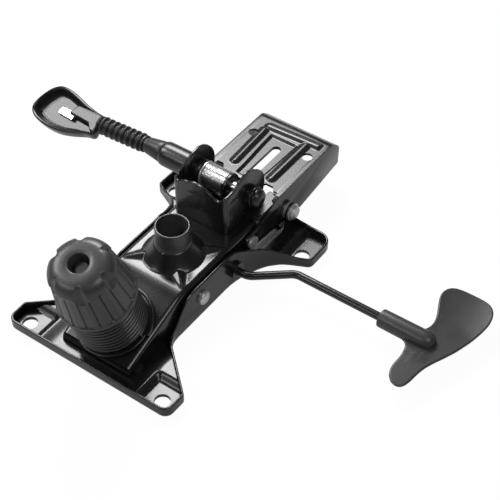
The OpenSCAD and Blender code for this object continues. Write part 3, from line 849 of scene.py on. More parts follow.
@dataclass
class SeatPlate(Assembly):
    """The pressed pan with its drawn floors and pivots."""

    roll: float = 1.15
    draw: float = 4.4
    hole_x: float = 77.5
    hole_r: float = 7.5
    web_thick: float = 1.2
    web_low: float = 6.2
    web_high: float = 3.4
    pad_z: float = 3.95
    notch: tuple[Point, Point] = ((-41.5, 50.0, -5.0), (41.5, 118.5, 20.0))
    shoulder_x: float = 36.0
    shoulder_reach: float = 22.0
    # Places and clear distances of the holes that the bottom's rolled edge leaves out
    holes: tuple[Point, ...] = ((77.5, -118.0, 10.0), (77.5, 100.0, 10.0), (0.0, 0.0, 24.0))
    # Places and clear distances of the pivot holes that the rim's rolled edge leaves out
    pivots: tuple[Point, ...] = ((-14.5, 24.7, 6.0), (34.5, 20.0, 8.0), (124.5, 27.0, 6.0))
    shoulder: tuple[Pair, ...] = (
        (-74.0, 13.0), (-64.0, 13.1), (-59.0, 14.6), (-55.0, 17.6), (-51.0, 22.0), (-47.0, 27.4), (-43.0, 32.4),
        (-39.0, 36.2), (-34.0, 39.4), (-29.0, 41.2), (-23.0, 42.2), (-23.0, 60.0), (-74.0, 60.0),
    )
    rivet: tuple[Pair, ...] = (
        (0, -0.3), (6.9, -0.3), (6.8, 0.3), (6.2, 1.0), (5.0, 1.7), (3.2, 2.25), (1.4, 2.5), (0, 2.55),
    )
    webs: tuple[Web, ...] = (
        Web("front_web", -1, (-128.8, -67.0), 60.0, 101.0, 118.0, (
            (-129.0, 84.0), (-126.5, 88.0), (-121.0, 90.6), (-107.5, 90.2), (-104.0, 87.0), (-66.0, 44.6),
        )),
        Web("rear_web", 1, (62.0, 128.4), 66.0, 91.0, 100.0, (
            (56.0, 43.6), (76.0, 60.5), (90.0, 87.0), (94.0, 90.5), (123.0, 90.6), (126.5, 87.0), (128.6, 81.0),
        )),
    )

    def on_bottom(self, ends: Sequence[Vector], normals: Sequence[Vector]) -> bool:
        """Whether an edge bounds the bottom face, holes left out.

        Args:
            ends: The edge's two ends.
            normals: The normals of its faces.

        Returns:
            True for an edge that the drawing radius rolls.
        """
        hole = any(math.hypot(abs(ends[0].x) - x, ends[0].y - y) < reach for x, y, reach in self.holes)
        low = all(end.z < 0.1 for end in ends)
        return low and not hole and sum(normal.z < -0.9 for normal in normals) == 1

    def on_rim(self, ends: Sequence[Vector], normals: Sequence[Vector]) -> bool:
        """Whether an edge is a sharp one of the walls, pivot holes left out.

        Args:
            ends: The edge's two ends.
            normals: The normals of its faces.

        Returns:
            True for an edge that the small radius rolls.
        """
        hole = any(math.hypot(end.y - y, end.z - z) < reach for end in ends for y, z, reach in self.pivots)
        high = all(end.z > 8.0 for end in ends)
        return high and not hole and len(normals) == 2 and normals[0].angle(normals[1], 0.0) > math.radians(42)

    def floor(self, web: Web) -> bpy.types.Object:
        """The drawn floor of one pair of wings.

        Args:
            web: The floor's sizes.

        Returns:
            The sheet.
        """

        def shape(u: float, v: float) -> Point:
            """A point of the floor's upper face.

            Args:
                u: Grid fraction across.
                v: Grid fraction along.

            Returns:
                The point.
            """
            y = web.span[0] + (web.span[1] - web.span[0]) * v
            x = (2 * u - 1) * between(web.edge, y, False)
            pad = soft(abs(x), web.pad_x - 5.0, web.pad_x + 2.5) * soft(web.end * y, web.pad_y - 6.0, web.pad_y + 2.0)
            swell = self.web_low + self.web_high * soft(abs(x), 40.0, 60.0)
            return (x, y, swell + (self.pad_z - swell) * pad)

        sheet = self.bench.sheet(150, 60, shape, self.web_thick)
        tools = [self.bench.drill((side * self.hole_x, web.end * web.hole_y, 4), self.hole_r, 14) for side in (-1, 1)]
        if web.end > 0:
            tools.append(self.bench.block(*self.notch))
        self.bench.cut(sheet, tools)
        self.bench.smooth(sheet, 40.0)
        return sheet

    def rivet_heads(self) -> None:
        """Domed heads on the two main pivots."""
        low, high = (Vector(corner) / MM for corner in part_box("main_pivot_pins"))
        y, z, _ = self.pivots[0]
        outward = Matrix.Rotation(math.pi, 4, "X")
        for name, place in (
            ("left_rivet_head", turned_x(low.x, y, z) @ outward), ("right_rivet_head", turned_x(high.x, y, z)),
        ):
            head = self.bench.lathe(self.rivet, 48, place)
            self.bench.tidy(head)
            self.bench.smooth(head, 50.0)
            self.bench.dress(head, name, "seat", Slot.ZINC)

    def build(self) -> None:
        """Builds and dresses the seat group."""
        bench = self.bench
        pan = bench.pressing("seat_plate", 0.0)
        bench.cut(pan, [
            bench.plate(
                [(side * self.shoulder_x, y, z) for y, z in self.shoulder], (side * self.shoulder_reach, 0, 0)
            )
            for side in (-1, 1)
        ])
        bench.roll_edges(pan, self.on_bottom, self.draw, 5)
        bench.roll_edges(pan, self.on_rim, self.roll, 4)
        bench.smooth(pan, 38.0)
        bench.dress(pan, "seat_pan", "seat", Slot.ENAMEL, "seat_plate")
        for web in self.webs:
            bench.dress(self.floor(web), web.name, "seat", Slot.ENAMEL)
        self.rivet_heads()
        bench.paint(Slot.ZINC, "main_pivot_pins", "rear_pivot_pins", "pivot_washers")
        bench.paint(Slot.SPRING, "tension_bolt")
        bench.paint(Slot.ENAMEL, "bolt_saddle")
        bench.paint(Slot.GLOSS, "lever_bushes")
        bench.paint(Slot.RUBBER, "stop_pads")


@dataclass
class TiltBody(Assembly):
    """The folded channel with its pressed dome and the gas socket."""

    half: float = 39.0
    top: float = 45.0
    front: float = 116.0
    rear: float = 78.0
    crease: float = 38.0
    bend: float = 9.0
    slope: float = math.tan(math.radians(20.7))
    fold: float = 4.5
    low: float = 9.0
    thick: float = 3.0
    tube: float = 16.5
    bolt_y: float = -88.0
    bolt_hole: float = 11.0
    window: tuple[Point, Point] = ((-45.0, 29.0, 14.5), (45.0, 40.0, 32.5))
    dome: float = 15.5
    neck: float = 17.6
    foot: float = 30.0
    arm: float = 6.4
    arm_reach: float = 47.0
    arm_turn: float = 42.0
    # Shares of the grid that the nose, each side wall and each fold take
    nose: float = 0.06
    wall_share: float = 0.16
    fold_share: float = 0.1
    socket: tuple[Pair, ...] = (
        (14.0, 18), (16.3, 18), (16.5, 18.4), (16.5, 55.0), (17.6, 56.0), (17.9, 59.5), (17.6, 60.8), (17.0, 61.6),
        (16.6, 62.2), (16.5, 63.0), (16.5, 78.6), (16.4, 79.3), (15.9, 79.9), (15.4, 80.0), (14.9, 79.8),
        (14.55, 79.2), (14.5, 78.4), (14.3, 60), (14.1, 40),
    )

    def ridge(self, x: float, y: float) -> float:
        """Height of the dome and its four corner ridges over the flat top.

        Args:
            x: Place along X.
            y: Place along Y.

        Returns:
            The height.
        """
        r = math.hypot(x, y)
        rise = min(1.0, max(0.0, (self.foot - r) / (self.foot - self.neck)))
        fade = max(0.0, 1.0 - r / self.arm_reach)
        turn = math.degrees(math.atan2(abs(y), abs(x)))
        across = r * math.sin(math.radians(turn - self.arm_turn))
        arm = self.arm * fade ** 0.8 * math.exp(-((across / (1.5 + 8.0 * fade)) ** 2))
        return max(self.dome * rise ** 1.25, arm)

    def skin(self, y: float) -> float:
        """Height of the channel's top.

        Args:
            y: Place along Y.

        Returns:
            The height.
        """
        if y > -self.crease + self.bend:
            return self.top
        if y < -self.crease - self.bend:
            return self.top - (-y - self.crease) * self.slope
        t = (-self.crease + self.bend - y) / (2 * self.bend)
        return self.top - self.slope * self.bend * t * t

    def shape(self, u: float, v: float) -> Point:
        """The channel's outer surface.

        Args:
            u: Grid fraction across, from the left edge to the right.
            v: Grid fraction along, from the nose to the rear.

        Returns:
            The point.
        """
        on_nose = v < self.nose
        if on_nose:
            y = -self.front + (0.3 if v > self.nose * 0.7 else 0.0)
            top = self.low + (self.skin(-self.front) - self.low - 2.0) * (v / self.nose)
        else:
            y = -self.front + 1.2 + (self.rear + self.front - 1.2) * ((v - self.nose) / (1 - self.nose))
            top = self.skin(y)
        base = self.low + 9.0 * soft(y, 20.0, self.rear)
        flat = self.half - self.fold
        across = abs(2 * u - 1)
        wall_start = 1 - self.wall_share
        fold_start = wall_start - self.fold_share
        if across < fold_start:
            x, z = across / fold_start * flat, top
        elif across < wall_start:
            turn = (across - fold_start) / self.fold_share * math.pi / 2
            x, z = flat + self.fold * math.sin(turn), top - self.fold * (1 - math.cos(turn))
        else:
            side = max(0.0, top - self.fold - base)
            x, z = self.half, top - self.fold - side * (across - wall_start) / self.wall_share
        z = max(z, base)
        if across < wall_start and not on_nose:
            z += self.ridge(x, y) * (1 - soft(x, 36.0, 39.0))
        return (math.copysign(x, u - 0.5), y, z)

    def build(self) -> None:
        """Builds and dresses the body and what is welded to it."""
        bench = self.bench
        body = bench.sheet(120, 180, self.shape, self.thick)
        bench.cut(body, [
            bench.drill((0, 0, 50), self.tube - 0.3, 60),
            bench.drill((0, self.bolt_y, 24), self.bolt_hole, 40),
            bench.block(*self.window),
        ])
        bench.smooth(body, 40.0)
        bench.dress(body, "tilt_channel", "tilt", Slot.ENAMEL, "tilt_body")
        tube = bench.lathe(self.socket, 96, Matrix.Identity(4))
        bench.smooth(tube, 40.0)
        bench.dress(tube, "gas_tube", "tilt", Slot.SOCKET, "gas_socket")
        bench.dress(bench.pressing("spring_seat", 0.7), "spring_cup", "tilt", Slot.ENAMEL, "spring_seat")
        bench.paint(Slot.ENAMEL, "socket_brace")
        bench.paint(Slot.NYLON, "pivot_bushes")
        bench.paint(Slot.ZINC, "link_pins")


@dataclass
class TensionKnob(Assembly):
    """Knob, main spring and thrust washer along the tilted bolt."""

    tilt: float = 17.5
    crown: Point = (0.0, -121.6, 133.6)
    length: float = 55.0
    grip_start: float = 11.0
    grip_r: float = 30.4
    grip_flare: float = 6.4
    grip_deep: float = 0.8
    grip_steps: int = 34
    scallops: int = 6
    scallop_turn: float = 6.0
    scallop_deep: float = 3.8
    scallop_r: float = 30.0
    scallop_place: float = 9.5
    scallop_half: Pair = (6.4, 9.0)
    skirt: float = 14.5
    skirt_wave: float = 2.2
    grooves: int = 18
    groove_deep: float = 1.1
    groove_step: float = 0.25
    spring_r: float = 31.35
    spring_top: float = -48.0
    spring_low: float = -108.0
    wire: float = 4.5
    pitch: float = 5.2

    def place(self) -> Matrix:
        """The bolt's frame, with Z up the bolt from the crown."""
        return rolled_x(self.crown, self.tilt)

    def profile(self) -> list[Pair]:
        """The knob's section.

        Returns:
            Radius and height of each corner.
        """
        end, start, steps = self.length, self.grip_start, self.grip_steps
        outer = [(9.4, -1.0), (9.7, -0.3), (10.4, 0.0), (14, 0.15), (17, 0.1), (20, -0.2), (22.5, -0.9),
                 (24.6, -2.0), (26.4, -3.4), (27.9, -5.1), (29.1, -7.0), (29.9, -9.0), (30.4, -11.0)]
        for i in range(1, steps + 1):
            s = start + (end - 1.0 - start) * i / steps
            outer.append((self.grip_r + self.grip_flare * (s - start) / (end - start), -s))
        return outer + [
            (36.9, -end + 0.5), (36.6, -end), (34.6, -end), (34.3, -end + 0.4), (34.3, -45.9), (27, -45.9),
            (27, -30), (15, -30), (15, -45.9), (6.3, -45.9), (6.3, -20), (9.4, -20),
        ]

    def carve(self, knob: bpy.types.Object) -> None:
        """Presses the scallops and grooves into the turned knob.

        Args:
            knob: The turned knob, its crown at the origin.
        """
        scallop, groove = 360.0 / self.scallops, 360.0 / self.grooves
        grip_end = self.length - 4.5
        for vertex in knob.data.vertices:
            r = math.hypot(vertex.co.x, vertex.co.y) / MM
            s = -vertex.co.z / MM
            if r < 19 or s > self.length - 1.5 or r < 28 and s > 8:
                continue
            turn = math.degrees(math.atan2(vertex.co.y, vertex.co.x)) - self.scallop_turn
            # The scallops under the crown
            near = (turn + scallop / 2) % scallop - scallop / 2
            wide, high = self.scallop_half
            off = math.hypot(math.radians(near) * self.scallop_r / wide, (s - self.scallop_place) / high)
            dip = self.scallop_deep * (1 - off * off) ** 0.75 if off < 1 else 0.0
            skirt = self.skirt + self.skirt_wave * math.cos(math.radians(turn * self.scallops))
            # The grip's grooves, with every second flat between them a little lower
            if skirt < s < grip_end:
                near = (turn + groove) % groove - groove / 2
                dip += self.groove_deep * max(0.0, 1 - abs(math.radians(near)) * r)
                dip += self.groove_step * (math.floor((turn + 180) / groove) % 2)
            # The whole grip lies a little below the skirt's waved line
            fade = 1 - soft(s, grip_end, grip_end + 1.0)
            dip += self.grip_deep * soft(s, skirt - 0.9, skirt + 0.5) * fade
            scale = (r - dip) / r
            vertex.co.x *= scale
            vertex.co.y *= scale

    def build(self) -> None:
        """Builds and dresses the tension group."""
        bench = self.bench
        knob = bench.lathe(self.profile(), 360, Matrix.Identity(4))
        self.carve(knob)
        knob.data.transform(self.place())
        bench.smooth(knob, 30.0)
        bench.dress(knob, "knob_moulding", "knob", Slot.GREY, "tension_knob")
        ends = (self.spring_low + self.wire / 2, self.spring_top - self.wire / 2)
        spring = bench.tube(coil(self.spring_r, self.pitch, *ends, 40), self.wire / 2, 5)
        spring.data.transform(self.place())
        bench.dress(spring, "main_spring", None, Slot.SPRING, "tension_spring")
        low, high = (self.place() @ Vector((0, 0, s * MM)) for s in (-106.0, -50.0))
        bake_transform(spring)
        bench.paint(Slot.ZINC, "knob_nut", "thrust_washer")


@dataclass
class TiltLock(Assembly):
    """The folded bracket, its cross shaft and the left handle."""

    y: float = 83.0
    z: float = 70.0
    left: float = -35.0
    right: float = 27.0
    wall: float = 3.0
    wall_low: float = 79.5
    front: float = 44.6
    bend: float = 6.0
    wall_cuts: tuple[tuple[Point, Point], ...] = (
        ((-40.0, 40.0, 80.0), (20.0, 54.0, 120.0)), ((10.0, 40.0, 80.0), (40.0, 91.5, 120.0)),
    )
    shaft_r: float = 5.5
    spring_r: float = 11.05
    spring_span: Pair = (-23.0, 3.0)
    wire: float = 1.9
    pitch: float = 1.47
    bellows_end: float = -157.0
    bellows_len: float = 60.0
    rib_top: float = 9.7
    rib_low: float = 7.0
    ribs: int = 8
    droop: float = 4.0
    droop_span: Pair = (76.0, 165.0)
    shaft_ends: Pair = (37.0, -178.5)
    shaft_bend: float = -60.0
    roll: float = 30.0
    corner: tuple[float, ...] = (0.26, 0.52, 0.79, 1.05, 1.31)
    wave: tuple[Pair, ...] = (
        (-34.0, 87.5), (-30.0, 86.0), (-19.0, 91.2), (-9.0, 93.8), (-3.0, 93.0), (18.5, 84.6), (25.5, 90.0),
    )
    left_edge: tuple[Pair, ...] = ((46.0, 88.5), (56.0, 84.0))
    right_edge: tuple[Pair, ...] = ((46.0, 90.6), (58.0, 91.2), (68.0, 96.0), (80.0, 100.0), (93.0, 94.5))
    outline: tuple[Pair, ...] = (
        (2.0, -14.6), (2.0, -4.0), (1.4, 7.0), (-6.0, 8.6), (-20.0, 11.2), (-34.0, 15.0), (-48.0, 17.8),
        (-59.0, 17.2), (-67.0, 12.0), (-73.0, 3.0), (-77.0, -7.0), (-77.4, -15.6), (-72.0, -22.0), (-62.0, -25.8),
        (-48.0, -27.4), (-34.0, -26.4), (-20.0, -22.4), (-8.0, -17.6),
    )
    # The dish's wall, from its back over the rim to the bowl: inset and height
    dish: tuple[Pair, ...] = (
        (3.4, -7.0), (1.2, -6.4), (0.2, -5.0), (0.0, -2.5), (0.0, 3.6), (0.35, 5.2), (1.1, 6.2), (2.0, 6.5),
        (2.9, 6.1), (3.5, 5.1), (4.1, 3.4), (5.6, -0.6), (6.7, -2.9), (7.6, -3.6), (8.6, -3.8), (9.8, -3.8),
    )
    boss: tuple[Pair, ...] = ((1.4, -14.4), (1.4, 4.4), (-29.0, 3.6), (-35.0, -6.8), (-9.0, -8.0), (-4.0, -14.2))
    boss_low: float = -6.0
    boss_rise: Point = (0.0, 3.0, 12.2)
    blade_low: float = -2.6
    blade_thick: float = 3.4
    blade: tuple[Pair, ...] = ((-31.0, -9.4), (-30.0, -0.4), (-48.6, -0.6), (-50.4, -8.6))
    # Radius and place; a place up to 1 is a share of the length
    sleeve: tuple[Pair, ...] = (
        (5.55, 0), (7.4, 0), (7.9, 0.5), (8.1, 2.0), (8.9, 0.3), (10.3, 0.75), (10.9, 0.96), (10.6, 1.0), (5.55, 1.0),
    )
    collar: tuple[Pair, ...] = (
        (5.6, 0), (11.2, 0), (12.1, 0.03), (12.6, 0.08), (12.7, 0.2), (12.7, 0.9), (12.4, 1.0), (5.6, 1.0),
    )

    def bellows(self) -> bpy.types.Object:
        """The ribbed rubber tube, with rounded ribs.

        Returns:
            The tube.
        """
        length, low = self.bellows_len, self.rib_low
        points = [(5.6, 0.3), (8.3, 0.3), (8.7, 0.7), (8.7, 2.6), (low + 0.2, 3.0)]
        span = (length - 6.0) / self.ribs
        for i in range(self.ribs):
            for k in range(12):
                phase = (k + 0.5) / 12
                rise = min(1.0, max(0.0, (phase - 0.12) / 0.76))
                lift = math.sin(math.pi * rise) ** 0.7 if 0.0 < rise < 1.0 else 0.0
                points.append((low + (self.rib_top - low) * lift, 3.0 + span * (i + phase)))
        points += [(low + 0.2, length - 3.0), (8.7, length - 2.6), (8.7, length - 0.7), (8.3, length - 0.3),
                   (5.6, length - 0.3)]
        return self.bench.lathe(points, 64, turned_x(self.bellows_end, self.y, self.z))

    def sag(self, piece: bpy.types.Object) -> None:
        """Lets the flexible left end hang a little, as it does in the photograph."""
        for vertex in piece.data.vertices:
            vertex.co.z -= self.droop * MM * soft(-vertex.co.x / MM, *self.droop_span)

    def grip_place(self) -> Matrix:
        """The handle's frame, with X along the shaft."""
        return rolled_x((self.bellows_end, self.y, self.z), self.roll)

    def grip(self) -> bpy.types.Object:
        """The dished handle with its boss.

        Returns:
            The handle.
        """
        loop = rounded_loop(self.outline, 8)
        total = len(loop)

        def shape(i: int, j: int) -> Point:
            """A point of the shell.

            Args:
                i: Step round the outline.
                j: Step from the back over the rim to the bowl.

            Returns:
                The point.
            """
            here = loop[i % total]
            inset, height = self.dish[j]
            inset *= 1 - 0.35 * soft(here[0], -24.0, -4.0)
            return (*stepped_in(loop[(i - 1) % total], here, loop[(i + 1) % total], inset), height)

        dish = self.bench.band(total, len(self.dish) - 1, shape)
        boss = self.bench.plate([(x, y, self.boss_low) for x, y in self.boss], self.boss_rise, (1.6,))
        self.bench.bevel(boss, 0.8, 3)
        grip = self.bench.join(dish, boss)
        grip.data.transform(self.grip_place())
        return grip

    def tongue(self) -> bpy.types.Object:
        """The bright flat end of the shaft in the dish.

        Returns:
            The blade.
        """
        blade = self.bench.plate([(x, y, self.blade_low) for x, y in self.blade], (0, 0, self.blade_thick), (0.8,))
        self.bench.bevel(blade, 0.35, 2)
        blade.data.transform(self.grip_place())
        return blade

    def waved_wall(self) -> bpy.types.Object:
        """The top of the bracket's front wall, with its waved edge.

        Returns:
            The wall.
        """
        front, bend = self.front, self.bend
        path = [(self.left, 54.0)]
        path += [(self.left + bend - bend * math.cos(t), front + bend - bend * math.sin(t)) for t in self.corner]
        path += [(self.left + 7.5 + i * 1.5, front) for i in range(32)]
        path += [(self.right - bend + bend * math.sin(t), front + bend - bend * math.cos(t)) for t in self.corner]
        path += [(self.right, y) for y in (54.0, 58.0, 62.0, 65.0, 68.0, 72.0, 76.0, 80.0, 84.0, 88.0, 92.0)]
        tops = []
        for x, y in path:
            if y <= front + 0.8:
                tops.append(between(self.wave, x))
            else:
                tops.append(between(self.right_edge if x > 0 else self.left_edge, y))
        return self.bench.strip(path, tops, self.wall_low, self.wall)

    def turned(self, node: str, section: Sequence[Pair]) -> bpy.types.Object:
        """A turned copy of a CAD node on the shaft.

        Args:
            node: The CAD node, which gives its place and length.
            section: Radius and place of each corner.

        Returns:
            The turned piece.
        """
        low, high = (Vector(corner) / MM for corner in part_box(node))
        profile = [(radius, at * (high.x - low.x) if at <= 1.0 else at) for radius, at in section]
        return self.bench.lathe(profile, 64, turned_x(low.x, self.y, self.z))

    def bracket(self) -> bpy.types.Object:
        """The bracket with its ears and its waved front wall.

        Returns:
            The bracket.
        """
        bench = self.bench
        bracket = bench.pressing("lock_bracket", 0.0)
        bench.cut(bracket, [bench.block(*corners) for corners in self.wall_cuts])
        bench.bevel(bracket, 0.9, 4, math.radians(30.0))
        bench.smooth(bracket, 38.0)
        wall = self.waved_wall()
        bench.smooth(wall, 50.0)
        return bench.join(bracket, wall)

    def hang(
        self, piece: bpy.types.Object, name: str, body: str, slot: Slot, node: str, angle: float = 0.0
    ) -> None:
        """Lets a piece sag with the shaft, smooths it and dresses it.

        Args:
            piece: The finished piece.
            name: Its name.
            body: The CAD body it moves with.
            slot: Its material slot.
            node: The CAD node it replaces.
            angle: The smoothing angle in degrees, or 0 to keep its shading.
        """
        self.sag(piece)
        if angle:
            self.bench.smooth(piece, angle)
        self.bench.dress(piece, name, body, slot, node)

    def build(self) -> None:
        """Builds and dresses the lock."""
        bench = self.bench
        bench.dress(self.bracket(), "lock_ears", "tilt", Slot.ENAMEL, "lock_bracket")
        self.hang(self.grip(), "lock_handle_formed", "lock", Slot.GLOSS, "lock_handle", 42.0)
        self.hang(self.tongue(), "lock_tongue_formed", "lock", Slot.BRIGHT, "lock_tongue", 42.0)
        for node, section, body, slot in (
            ("lock_sleeve", self.sleeve, "lock", Slot.RUBBER), ("lock_collar", self.collar, "tilt", Slot.GLOSS),
        ):
            self.hang(self.turned(node, section), node + "_turned", body, slot, node, 40.0)
        ends = (self.spring_span[0] + self.wire / 2, self.spring_span[1] - self.wire / 2)
        wire = [(x, self.y + a, self.z + b) for a, b, x in coil(self.spring_r, self.pitch, *ends, 36)]
        bench.dress(bench.tube(wire, self.wire / 2, 4), "cross_spring", "lock", Slot.BRIGHT, "lock_spring")
        self.hang(self.bellows(), "bellows_skin", "lock", Slot.RUBBER, "lock_bellows", 60.0)
        for node, body, width in (
            ("lock_cam", "lock", 0.5), ("ear_bush", "tilt", 0.8),
            ("shaft_cap", "lock", 0.4), ("spring_retainer", "lock", 0.6),
        ):
            self.hang(bench.pressing(node, width, 4), node + "_turned", body, Slot.GLOSS, node)
        steps = [self.shaft_ends[0], *(self.shaft_bend - 8.0 * i for i in range(15)), self.shaft_ends[1]]
        shaft = bench.tube([(x, self.y, self.z) for x in steps], self.shaft_r, 8)
        self.hang(shaft, "bent_shaft", "lock", Slot.BRIGHT, "lock_shaft")
        bench.paint(Slot.ZINC, "lock_washer")


@dataclass
class GasLever(Assembly):
    """The bent rod and the right paddle."""

    y: float = 34.5
    z: float = 20.0
    offset: float = 28.5
    reach: float = 243.0
    rod_r: float = 4.0
    start: float = -51.0
    knee: float = 60.0
    run: float = 35.0
    bend: float = 14.0
    bend_steps: int = 8
    wing_z: float = 13.2
    wing_thick: float = 4.8
    socket_x: float = 188.0
    wing: tuple[Pair, ...] = (
        (-36, -7), (-27, -9.5), (-21, -13), (-18.5, -21), (-18.5, -31), (-19.5, -41), (-16.5, -50.5),
        (-10.5, -56.5), (-4, -58), (1.5, -55), (4, -46), (4.8, -34), (8.6, -21), (14, -9.5), (20.5, 5.5),
        (25.5, 23), (28.5, 40), (29.5, 52), (28, 61), (24, 69.5), (17, 74.5), (7, 75.8), (-5, 75.8),
        (-16, 74.5), (-23, 70), (-26.2, 62.5), (-25.2, 54), (-20, 43.5), (-15.4, 32.5), (-13.6, 23),
        (-15, 14), (-21, 9), (-36, 7),
    )
    socket: tuple[Pair, ...] = (
        (4.02, 0), (8.0, 0), (8.7, 0.6), (8.9, 2), (9.2, 44), (9.2, 47), (8.8, 50.0), (7.6, 52.8), (5.6, 54.8),
        (3.0, 55.8), (0, 56.1), (0, 49.2), (4.02, 49.2),
    )

    def path(self) -> list[Point]:
        """The rod's centre line with rounded bends.

        Returns:
            The points of the line.
        """
        angle = math.atan2(self.offset, self.run)
        lead = self.bend * math.tan(angle / 2)
        far_x, far_y = self.knee + self.run, self.y + self.offset
        turns = [angle * i / self.bend_steps for i in range(self.bend_steps + 1)]
        arc = [(self.bend * math.sin(turn), self.bend * (1 - math.cos(turn))) for turn in turns]
        points = [(self.start, self.y)]
        points += [(self.knee - lead + x, self.y + y) for x, y in arc]
        points += [(far_x + lead - x, far_y - y) for x, y in reversed(arc)]
        points.append((self.reach - 6.0, far_y))
        return [(x, y, self.z) for x, y in points]

    def paddle(self) -> bpy.types.Object:
        """The wing of the paddle: its outline filled, drawn up, crowned and dished.

        Returns:
            The wing.
        """
        far_y = self.y + self.offset
        ring = [(self.reach + x, far_y + y, self.wing_z) for x, y in self.wing]
        piece = self.bench.plate(ring, (0, 0, self.wing_thick), (2.2, 3.5))
        self.bench.apply(piece, "SUBSURF", levels=3, render_levels=3)
        for vertex in piece.data.vertices:
            x, y = vertex.co.x / MM - self.reach, vertex.co.y / MM - far_y
            bowl = 0.0034 * (x - 2.0) ** 2 + 0.0016 * (y - 40.0) ** 2 - 2.6
            tail = 0.8 - 0.0014 * min(0.0, y + 20.0) ** 2
            fold = 1.6 * math.exp(-(((y + 17.0) / 6.0) ** 2)) * soft(-x, -6.0, 10.0)
            vertex.co.z += (bowl * soft(y, 8.0, 34.0) + tail + fold) * MM
        return piece

    def build(self) -> None:
        """Builds and dresses the lever."""
        bench = self.bench
        rod = bench.tube(self.path(), self.rod_r, 8)
        bench.dress(rod, "bent_rod", "lever", Slot.ENAMEL, "lever_rod")
        wing = self.paddle()
        socket = bench.lathe(self.socket, 48, turned_x(self.socket_x, self.y + self.offset, self.z))
        bench.smooth(socket, 40.0)
        bench.smooth(wing, 50.0)
        bench.dress(bench.join(wing, socket), "right_paddle", "lever", Slot.GREY, "lever_paddle")
        bench.paint(Slot.ZINC, "lever_finger", "lever_retainer")


@dataclass
class BackBracket(Assembly):
    """The folded back bracket with its pressed beads."""

    top: float = 55.0
    press: float = 2.2
    patch_low: Pair = (-37.0, 113.5)
    patch_high: Pair = (37.0, 198.0)
    patch_thick: float = 2.5
    slot_y: float = 144.5
    slot_r: float = 5.0
    slot_run: float = 43.0
    bolt: Pair = (32.5, 173.0)
    bolt_r: float = 5.5
    # Each bead's two ends and half its width
    beads: tuple[tuple[float, float, float, float, float], ...] = (
        (-22.5, 127.0, -25.4, 182.0, 2.9),
        (21.8, 126.0, 21.8, 186.0, 3.2),
        (-24.0, 189.0, 33.0, 191.6, 3.1),
    )
    notches: tuple[tuple[Pair, ...], ...] = (
        ((17.0, 112.5), (34.0, 112.5), (29.5, 118.0), (21.5, 118.0)),
        ((-36.5, 112.5), (-25.0, 112.5), (-29.5, 118.0), (-36.5, 118.0)),
    )
    tab: tuple[Pair, ...] = ((28.6, 76.0), (42.2, 76.0), (42.2, 114.0), (28.6, 114.0))
    tab_z: float = 49.2
    tab_thick: float = 2.7

    def relief(self, x: float, y: float) -> float:
        """Height of the pressed relief over the flat top.

        Args:
            x: Place along X.
            y: Place along Y.

        Returns:
            The height, below 0 in the middle field.
        """
        rise = 0.0
        for x0, y0, x1, y1, half in self.beads:
            dx, dy = x1 - x0, y1 - y0
            t = min(1.0, max(0.0, ((x - x0) * dx + (y - y0) * dy) / (dx * dx + dy * dy)))
            gap = math.hypot(x - x0 - dx * t, y - y0 - dy * t)
            rise = max(rise, self.press * (1 - soft(gap, half - 2.6, half + 3.2)))
        # The middle field lies lower and widens to the rear
        spread = soft(y, 118.0, 181.0)
        left, right = 11.6 + 3.4 * spread, 12.6 + 1.8 * spread
        side = soft(x, right - 1.6, right + 1.6) + soft(-x, left - 1.6, left + 1.6)
        ends = max(soft(-y, -117.0, -114.5), soft(y, 178.6, 182.4))
        return rise - self.press * max(0.0, 1 - side) * (1 - ends)

    def shape(self, u: float, v: float) -> Point:
        """The relief patch let into the top.

        Args:
            u: Grid fraction across.
            v: Grid fraction along.

        Returns:
            The point.
        """
        x = self.patch_low[0] + (self.patch_high[0] - self.patch_low[0]) * u
        y = self.patch_low[1] + (self.patch_high[1] - self.patch_low[1]) * v
        inside = min(u, 1 - u, v, 1 - v) > 0.004
        return (x, y, self.top + (self.relief(x, y) if inside else 0.0))

    def build(self) -> None:
        """Builds and dresses the bracket."""
        bench = self.bench
        shell = bench.pressing("back_bracket", 0.9, 3, 36.0)
        bench.cut(shell, [bench.block((*self.patch_low, 50.0), (*self.patch_high, 57.0))])
        patch = bench.sheet(148, 169, self.shape, self.patch_thick)
        cutters = [bench.drill((0, self.slot_y, 50), self.slot_r, 20, self.slot_run)]
        x, y = self.bolt
        cutters += [bench.drill((side * x, y, 54), self.bolt_r, 20) for side in (-1, 1)]
        cutters += [bench.plate([(x, y, 48.0) for x, y in ring], (0, 0, 10)) for ring in self.notches]
        bench.cut(patch, cutters)
        bench.smooth(patch, 40.0)
        tab = bench.plate([(x, y, self.tab_z) for x, y in self.tab], (0, 0, self.tab_thick), (1.2,))
        bench.bevel(tab, 0.6, 3)
        bench.smooth(tab, 40.0)
        bench.dress(bench.join(shell, patch, tab), "back_pressing", "back", Slot.ENAMEL, "back_bracket")
        bench.paint(Slot.NYLON, "bracket_bushes")


@dataclass(frozen=True)
class Softbox:
    """A rectangular soft lamp, in metres and watts."""

    place: Point
    aim: Point
    size: Pair
    power: float

    def build(self) -> None:
        """Hangs the lamp."""
        data = bpy.data.lights.new("softbox", "AREA")
        data.shape = "RECTANGLE"
        data.size, data.size_y = self.size
        data.energy = self.power
        lamp = bpy.data.objects.new("softbox", data)
        lamp.location = self.place
        lamp.rotation_euler = (Vector(self.aim) - Vector(self.place)).to_track_quat("-Z", "Y").to_euler()
        bpy.context.scene.collection.objects.link(lamp)


